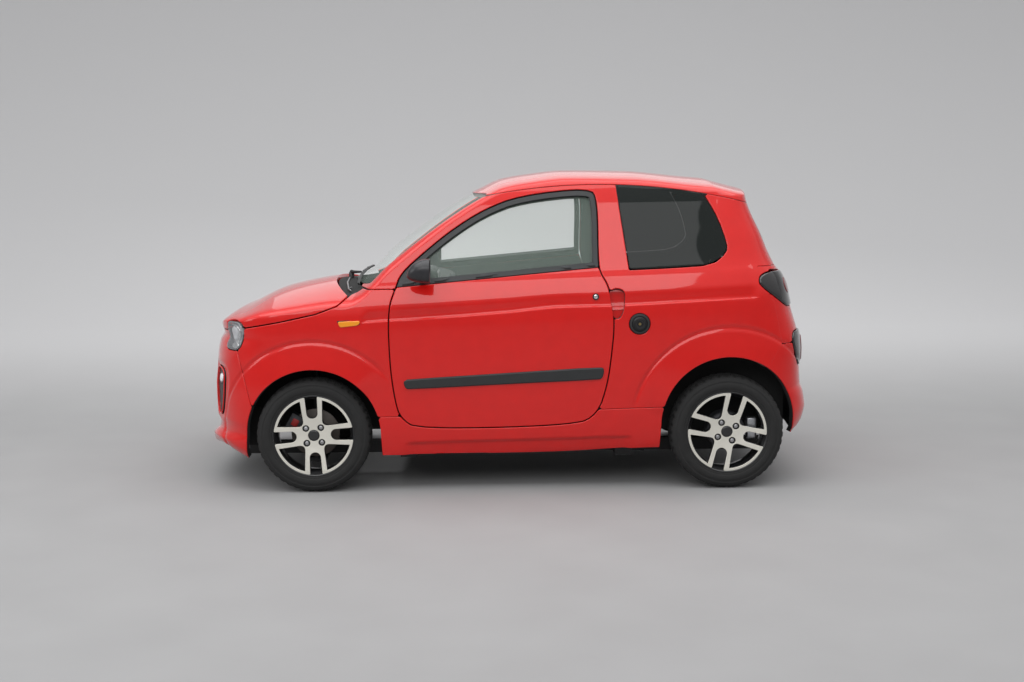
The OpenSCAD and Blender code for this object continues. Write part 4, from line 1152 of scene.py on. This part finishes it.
ys = np.linspace(-460, 185, 34)
xs = -728 + 0.035 * (ys + 470) + 1.2e-4 * (ys + 140) ** 2
spine_r = 2 + 3 * np.sin(np.linspace(0, math.pi, len(ys)))
blade = tube("blade", over_screen(zip(xs, ys), 7), 5, [BLACK], 10)
spine = tube("spine", over_screen(zip(xs - 5, ys), 13), spine_r, [BLACK], 8)
arm = tube("arm", over_screen([(-790, -40), (-776, -60), (-760, -85), (-744, -110), (-733, -128)], 16),
           [11, 8, 7, 6, 5], [BLACK], 12)
post = turned(lathe("post", [(0.01, 14), (12, 14), (14, 11), (14, -40)], [BLACK], 24), 90, "X")
place(post, (-790, -40, top_at(-790, -40)))
rods = [tube("rod", over_screen([(-795, -60), (-790, -250), (-768, -430)], -10), 4, [STEEL], 8),
        tube("rod", over_screen([(-752, -420), (-768, -440), (-748, -500)], -8), 4, [STEEL], 8)]
put(join("wiper_set", [blade, spine, arm, post] + rods), "body", ["wiper"], "black_plastic")

# Seats
FABRIC = plain("seat_fabric", (0.05, 0.052, 0.056), 0.92, scale=900, strength=0.5, tint=0.3, dist=0.0008)
LEATHER = plain("seat_leather", (0.018, 0.018, 0.02), 0.5, scale=420, strength=0.35, tint=0.2, dist=0.0008)


def weave(mat, count):
    """Crossed threads over the noise of a fabric."""
    t = mat.node_tree
    b = t.nodes["Principled BSDF"]
    at = node(t, "TexCoord").outputs["Object"]
    top = node(t, "Math")
    top.operation = "MAXIMUM"
    for k, axis in enumerate(("X", "Y")):
        wave = node(t, "TexWave", {"Vector": at}, Scale=count, Distortion=0.6)
        wave.bands_direction = axis
        t.links.new(wave.outputs["Fac"], top.inputs[k])
    sources = {"Height": top.outputs["Value"], "Normal": b.inputs["Normal"].links[0].from_socket}
    bump = node(t, "Bump", sources, Strength=0.5, Distance=0.0008)
    t.links.new(bump.outputs["Normal"], b.inputs["Normal"])


weave(FABRIC, 90)


def rounded_box(n, k):
    """Points and quads of a rounded cube of half size one, k cells along each edge."""
    g = np.linspace(-1, 1, k + 1)
    bm = bmesh.new()
    for axis in range(3):
        for sign in (-1, 1):
            grid = [[None] * (k + 1) for _ in range(k + 1)]
            for i in range(k + 1):
                for j in range(k + 1):
                    p = [0.0, 0.0, 0.0]
                    p[axis], p[(axis + 1) % 3], p[(axis + 2) % 3] = sign, g[i], g[j]
                    grid[i][j] = bm.verts.new(p)
            for i in range(k):
                for j in range(k):
                    q = [grid[i][j], grid[i + 1][j], grid[i + 1][j + 1], grid[i][j + 1]]
                    bm.faces.new(q if sign > 0 else q[::-1])
    bmesh.ops.remove_doubles(bm, verts=bm.verts[:], dist=1e-5)
    bm.verts.index_update()
    v = np.array([q.co for q in bm.verts])
    f = [[q.index for q in face.verts] for face in bm.faces]
    bm.free()
    return v / ((abs(v) ** n).sum(1) ** (1 / n))[:, None], f


PRESSURE, FRAMES = 4, 20    # air in a pad's skin, and how long it is blown up


def swell(ob, cap, rest):
    """Air pressure in a cloth skin crowns the pad; points on what carries it are pinned."""
    me = ob.data
    start = np.array([v.co for v in me.vertices])
    group = ob.vertex_groups.new(name="rest")
    group.add([int(k) for k in np.nonzero(rest)[0]], 1.0, "REPLACE")
    mod = ob.modifiers.new("cloth", "CLOTH")
    st = mod.settings
    st.use_pressure = True
    st.uniform_pressure_force = PRESSURE
    st.effector_weights.gravity = 0
    st.vertex_group_mass = "rest"
    mod.point_cache.frame_start, mod.point_cache.frame_end = 1, FRAMES
    for k in range(1, FRAMES + 1):
        bpy.context.scene.frame_set(k)
    done = ob.evaluated_get(bpy.context.evaluated_depsgraph_get()).data
    end = np.array([v.co for v in done.vertices])
    ob.modifiers.remove(mod)
    ob.vertex_groups.clear()
    bpy.context.scene.frame_set(1)
    d = end - start
    far = np.linalg.norm(d, axis=1, keepdims=True)
    d *= np.minimum(1, cap * MM / (far + 1e-9))
    me.vertices.foreach_set("co", (start + d).ravel())
    me.update()


def pad(name, half_size, n, k, form, cap, rest, sewn, edge_y, lean):
    """Cushion: a rounded start form, blown up as cloth, with sewn channels pressed in after it."""
    v, f = rounded_box(n, k)
    v = form(v * np.array(half_size))
    ob = make(name, v, f, [FABRIC, LEATHER])
    swell(ob, cap, rest(v))
    sub = ob.modifiers.new("fine", "SUBSURF")
    sub.levels = sub.render_levels = 1
    me = bpy.data.meshes.new_from_object(ob.evaluated_get(bpy.context.evaluated_depsgraph_get()))
    bpy.data.objects.remove(ob)
    ob = bpy.data.objects.new(name, me)
    bpy.context.scene.collection.objects.link(ob)
    p = np.array([q.co for q in me.vertices]) / MM
    nor = np.array([q.normal for q in me.vertices])
    p -= nor * sewn(p, nor)[:, None]
    me.vertices.foreach_set("co", (p * MM).ravel())
    mid = np.array([q.center for q in me.polygons]) / MM
    me.polygons.foreach_set("material_index", (abs(mid[:, 1]) > edge_y).astype(np.int32))
    me.polygons.foreach_set("use_smooth", np.ones(len(me.polygons), bool))
    me.update()
    me.transform(lean)
    return ob


def groove(d, w=7.0, deep=6.0):
    return deep * np.exp(-(d / w) ** 2)


def cushion_form(v):
    """Side bolsters stand up, the front edge rolls down."""
    up = np.clip(v[:, 2] / 50, 0, 1)
    bolster = step((abs(v[:, 1]) - 110) / 70)
    v[:, 2] += up * (16 * bolster - 16 - 22 * step((-v[:, 0] - 150) / 90))
    return v


def back_form(v):
    fore = np.clip(-v[:, 0] / 40, 0, 1)
    bolster = step((abs(v[:, 1]) - 100) / 70)
    v[:, 0] -= fore * (16 * bolster - 16)
    v[:, 1] *= 1 - 0.16 * step((v[:, 2] - 120) / 180)
    return v


def channels(p, half_w, across, places):
    """Two channels along the pad, and some across between them."""
    d = groove(abs(p[:, 1]) - half_w)
    for q in places:
        d = d + np.where(abs(p[:, 1]) < half_w, groove(p[:, across] - q), 0)
    return d


SEAT_HALF, BACK_HALF, HEAD_HALF = 132, 118, 84    # half width of the fabric between the bolsters


def seat_channels(p, nor):
    return channels(p, SEAT_HALF, 0, (-70, 60)) * (nor[:, 2] > 0.3)


def back_channels(p, nor):
    return channels(p, BACK_HALF, 2, (-120, 10, 140)) * (nor[:, 0] < -0.3)


def head_channels(p, nor):
    return groove(abs(p[:, 1]) - HEAD_HALF, 5, 4) * (nor[:, 0] < 0.2)


def leaning(y):
    return shift(290, y, 430) @ Matrix.Rotation(math.radians(14), 4, "Y")


def seat(word, y):
    low = pad(f"seat_cushion_{word}", (228, 208, 58), 5, 22, cushion_form, 16, lambda v: v[:, 2] < -44,
              seat_channels, SEAT_HALF, shift(115, y, 455))
    back = pad(f"seat_back_{word}", (49, 196, 272), 5, 22, back_form, 14, lambda v: v[:, 0] > 38,
               back_channels, BACK_HALF, leaning(y) @ shift(55, 0, 280))
    head = pad(f"head_rest_{word}", (34, 122, 80), 3.4, 16, lambda v: v, 8, lambda v: v[:, 2] < -70,
               head_channels, HEAD_HALF, leaning(y) @ shift(58, 0, 665))
    for ob, fill in ((low, 0.8), (back, 0.75), (head, 0.85)):
        put(ob, "body", [f"seat_{word}"] if ob is low else [], "seat")
    leant = [tube("post", [(57, s, 520), (57, s, 600), (57, s, 640)], 7, [STEEL], 14) for s in (-60, 60)]
    leant.append(block("shell", (12, 360, 500), [BLACK], 5, 2, (112, 0, 270)))
    for ob in leant:
        ob.data.transform(leaning(y))
    parts = leant[:2]
    for s in (-150, 150):
        parts += [block("rail", (380, 40, 44), [DARK_STEEL], 5, 2, (110, y + s, 222)),
                  block("runner", (400, 22, 150), [BLACK], 5, 2, (110, y + s, 316)),
                  block("slide", (420, 30, 16), [STEEL], 4, 2, (110, y + s, 248))]
    parts += [block("pan", (430, 380, 16), [BLACK], 6, 2, (115, y, 392)),
              tube("lever", [(-30, y - 205, 372), (-90, y - 205, 366), (-118, y - 205, 352)], 7, [BLACK], 12),
              leant[2]]
    put(join(f"seat_frame_{word}", parts), "body", [], "steel")


seat("left", -300)
seat("right", 300)

# Dashboard and steering wheel
DASH_TOP = plain("dash_grain", (0.030, 0.031, 0.033), 0.62, scale=1100, strength=0.45, tint=0.15, dist=0.0006)
SCREEN = plain("screen_black", (0.006, 0.006, 0.007), 0.12, coat=0.5, strength=0.0, tint=0.02, spread=0.02)
prof = soften([(0, 660), (126, 660), (266, 800), (266, 930), (240, 960), (176, 975), (0, 985)], 2)
mid = prof.mean(0)
rings = []
for y in np.concatenate([[-583, -581, -575], np.linspace(-566, 566, 41), [575, 581, 583]]):
    k = 1 - 0.06 * max(0, (abs(y) - 566) / 17) ** 2
    q = mid + (prof - mid) * k
    rings.append(np.stack([q[:, 0] - 523.4, np.full(len(q), y), q[:, 1]], 1))
dash = [loft("dash", rings, [DASH_TOP]), block("hood", (150, 320, 96), [DASH_TOP], 34, 5, (-410, -300, 992)),
        block("dials", (10, 250, 62), [SCREEN], 4, 2, (-337, -300, 990))]


def hoop(x, y, z, r, n):
    """Points of an upright circle that faces the seats."""
    return [(x, y + r * math.cos(a), z + r * math.sin(a)) for a in angles(n)]


dash += [tube("ring", hoop(-331, y, 990, 26, 32), 2.2, [STEEL], 8, True) for y in (-365, -300, -235)]
dash += [block("stack", (44, 236, 190), [TRIM], 14, 4, (-262, 0, 862)),
         block("display", (8, 176, 84), [SCREEN], 4, 2, (-239, 0, 896))]
for k in range(4):
    knob = lathe("knob", [(0.01, -12), (10, -12), (12, -9), (13, 0)], [BLACK], 24)
    dash.append(place(turned(knob, 90, "Z"), (-240, -66 + 44 * k, 812)))
for y in (-500, -176, 176, 500):
    dash.append(tube("vent", hoop(-257, y, 878, 38, 40), 5, [TRIM], 10, True))
    for z in (-22, -8, 8, 22):
        dash.append(block("slat", (12, 2 * math.sqrt(36 ** 2 - z ** 2), 3), [BLACK], 1, 1,
                          (-256, y, 878 + z)))
box = [(-257.5, y, z) for y, z in ((200, 748), (520, 748), (520, 838), (200, 838))]
dash += [tube("glove", box, 1.6, [RUBBER], 8, True),
         block("latch", (8, 60, 14), [TRIM], 4, 2, (-256, 360, 826))]
put(join("dashboard_full", dash), "body", ["dashboard"], "cabin")

WHEEL_R, WHEEL_STEPS = 161, 96
ring = [(WHEEL_R * math.cos(a), WHEEL_R * math.sin(a), 0) for a in angles(WHEEL_STEPS)]
parts = [tube("grip", ring, [13.6 if k % 3 else 12.6 for k in range(WHEEL_STEPS)], [LEATHER], 20, True)]
for deg in (-90, 0, 90):
    spoke = block("spoke", (122, 34, 13), [BLACK], 5, 3, (96, 0, -3))
    inlay = block("inlay", (70, 12, 3), [STEEL], 1.4, 2, (100, 0, 4))
    parts += [turned(spoke, deg, "Z"), turned(inlay, deg, "Z")]
boss = lathe("boss", [(0.01, -8), (24, -7.5), (40, -5), (48, 0), (50, 8), (50, 42), (16, 42)], [LEATHER], 48)
parts.append(turned(boss, 90, "X"))
steering = turned(join("steering_wheel_full", parts), 62)
put(place(steering, (-190, -300, 858)), "steering_wheel", ["steering_wheel"], "black_plastic")

# Splash plates ahead of the front wheels
for word, flip in SIDES:
    s = 1 if flip else -1
    plate = join(f"splash_plate_{word}", [block("a", (128, 8, 190), [LINER], 3, 2, (-1264, s * 500, 285)),
                                          block("b", (8, 96, 170), [LINER], 3, 2, (-1258, s * 548, 300))])
    put(plate, "body", [], "black_plastic")

# Finish of the solids that keep their form
CARPET = plain("cabin_carpet", (0.026, 0.026, 0.028), 0.95, scale=1500, strength=0.7, tint=0.3, dist=0.0015)
UNDER = plain("under_black", (0.018, 0.018, 0.019), 0.6, scale=260, strength=0.3, tint=0.3)
CAST = plain("engine_cast", (0.16, 0.16, 0.165), 0.6, metal=0.5, scale=240, strength=0.5, tint=0.25,
             dist=0.001)
PIPE = plain("pipe_steel", (0.13, 0.12, 0.11), 0.5, metal=0.8, scale=160, strength=0.25, tint=0.3)
FINISH = {"floor_pan": CARPET, "chassis_rails": UNDER, "grille": BLACK, "lid_pins": STEEL,
          "steering_column": BLACK, "engine_block": CAST, "front_arch_liners": LINER,
          "rear_arch_liners": LINER, "front_suspension": UNDER, "rear_axle": UNDER, "exhaust": PIPE,
          "knuckle_left": DARK_STEEL, "knuckle_right": DARK_STEEL}
for word, mat in FINISH.items():
    ob = NODES[word]
    if not ob.material_slots:
        ob.data.materials.append(mat)
    for slot in ob.material_slots:
        slot.material = mat

# Camera, light and ground
YAW, PITCH, ROLL = 1.16, 7.05, -0.33      # degrees
EYE = (-0.1076, -6.9903, 1.4925)          # metres
FOCAL, WIDTH, SENSOR = 1350, 1024, 36     # pixels, pixels, mm


def camera():
    yaw, pitch, roll = (math.radians(v) for v in (YAW, PITCH, ROLL))
    fw = np.array([math.sin(yaw) * math.cos(pitch), math.cos(yaw) * math.cos(pitch), -math.sin(pitch)])
    r = np.array([math.cos(yaw), -math.sin(yaw), 0])
    u = np.cross(r, fw)
    r2, u2 = r * math.cos(roll) + u * math.sin(roll), u * math.cos(roll) - r * math.sin(roll)
    data = bpy.data.cameras.new("camera")
    data.sensor_width = SENSOR
    data.lens = SENSOR * FOCAL / WIDTH
    data.clip_end = 200
    ob = bpy.data.objects.new("camera", data)
    ob.matrix_world = Matrix([(r2[k], u2[k], -fw[k], EYE[k]) for k in range(3)] + [(0, 0, 0, 1)])
    bpy.context.scene.collection.objects.link(ob)
    bpy.context.scene.camera = ob


camera()


def area(name, at, to, size, power):
    data = bpy.data.lights.new(name, "AREA")
    data.shape = "RECTANGLE"
    data.size, data.size_y = size
    data.energy = power
    ob = bpy.data.objects.new(name, data)
    ob.location = at
    ob.rotation_euler = (Vector(to) - Vector(at)).to_track_quat("-Z", "Y").to_euler()
    bpy.context.scene.collection.objects.link(ob)


area("top", (0, -1.0, 5.2), (0, 0, 0), (9.0, 6.0), 290)
area("camera_side", (-1.5, -7.5, 4.6), (0, 0, 0.6), (7, 3), 150)
area("far_side", (1.0, 7.0, 4.5), (0, 0, 0.6), (9, 4), 50)
area("front_left", (-7.0, -2.5, 3.0), (0, 0, 0.6), (3, 3), 60)


def ground():
    """Floor that curves up into a wall behind the object."""
    rows = [(-40.0, 0.0), (-12.0, 0.0), (0.0, 0.0), (6.0, 0.0)]
    rows += [(6 + 6 * math.sin(a), 6 - 6 * math.cos(a)) for a in np.linspace(0, math.pi / 2, 25)[1:]]
    rows += [(12.0, 14.0)]
    v = [(x, y, z) for y, z in rows for x in (-45, 45)]
    f = [(2 * k, 2 * k + 1, 2 * k + 3, 2 * k + 2) for k in range(len(rows) - 1)]
    me = bpy.data.meshes.new("ground")
    me.from_pydata(v, [], f)
    me.polygons.foreach_set("use_smooth", np.ones(len(f), bool))
    ob = bpy.data.objects.new("ground", me)
    bpy.context.scene.collection.objects.link(ob)
    mat = plain("floor", (0.30, 0.30, 0.302), 0.8, scale=60, strength=0.05, tint=0.03)
    me.materials.append(mat)
    # painted light: the wall, and the floor as it nears it, are paler than the floor by the object, to make
    # up for the weaker light that reaches them; the colour eases over behind the object
    t = mat.node_tree
    base = t.nodes["Principled BSDF"].inputs["Base Color"]
    y = node(t, "SeparateXYZ", {"Vector": node(t, "NewGeometry").outputs["Position"]}).outputs["Y"]
    painted_light_ease = node(t, "MapRange", {"Value": y}, From_Min=0.5, From_Max=6.5)
    painted_light_ease.interpolation_type = "SMOOTHSTEP"
    mix = node(t, "Mix", {"Factor": painted_light_ease.outputs["Result"]})
    mix.data_type = "RGBA"
    mix.inputs[7].default_value = (0.66, 0.66, 0.664, 1)
    t.links.new(base.links[0].from_socket, mix.inputs[6])
    t.links.new(mix.outputs[2], base)


ground()
scene = bpy.context.scene
scene.view_settings.view_transform = "Standard"
world = bpy.data.worlds.new("studio")
scene.world = world
world.use_nodes = True
tree = world.node_tree
sky = tree.nodes["Background"]
sky.inputs["Strength"].default_value = 1.0
height = node(tree, "SeparateXYZ", {"Vector": node(tree, "TexCoord").outputs["Generated"]}).outputs["Z"]
shade = ramp(tree, height, (0.0, (0.26, 0.26, 0.263)), (0.7, (0.85, 0.85, 0.86)))
tree.links.new(shade, sky.inputs["Color"])
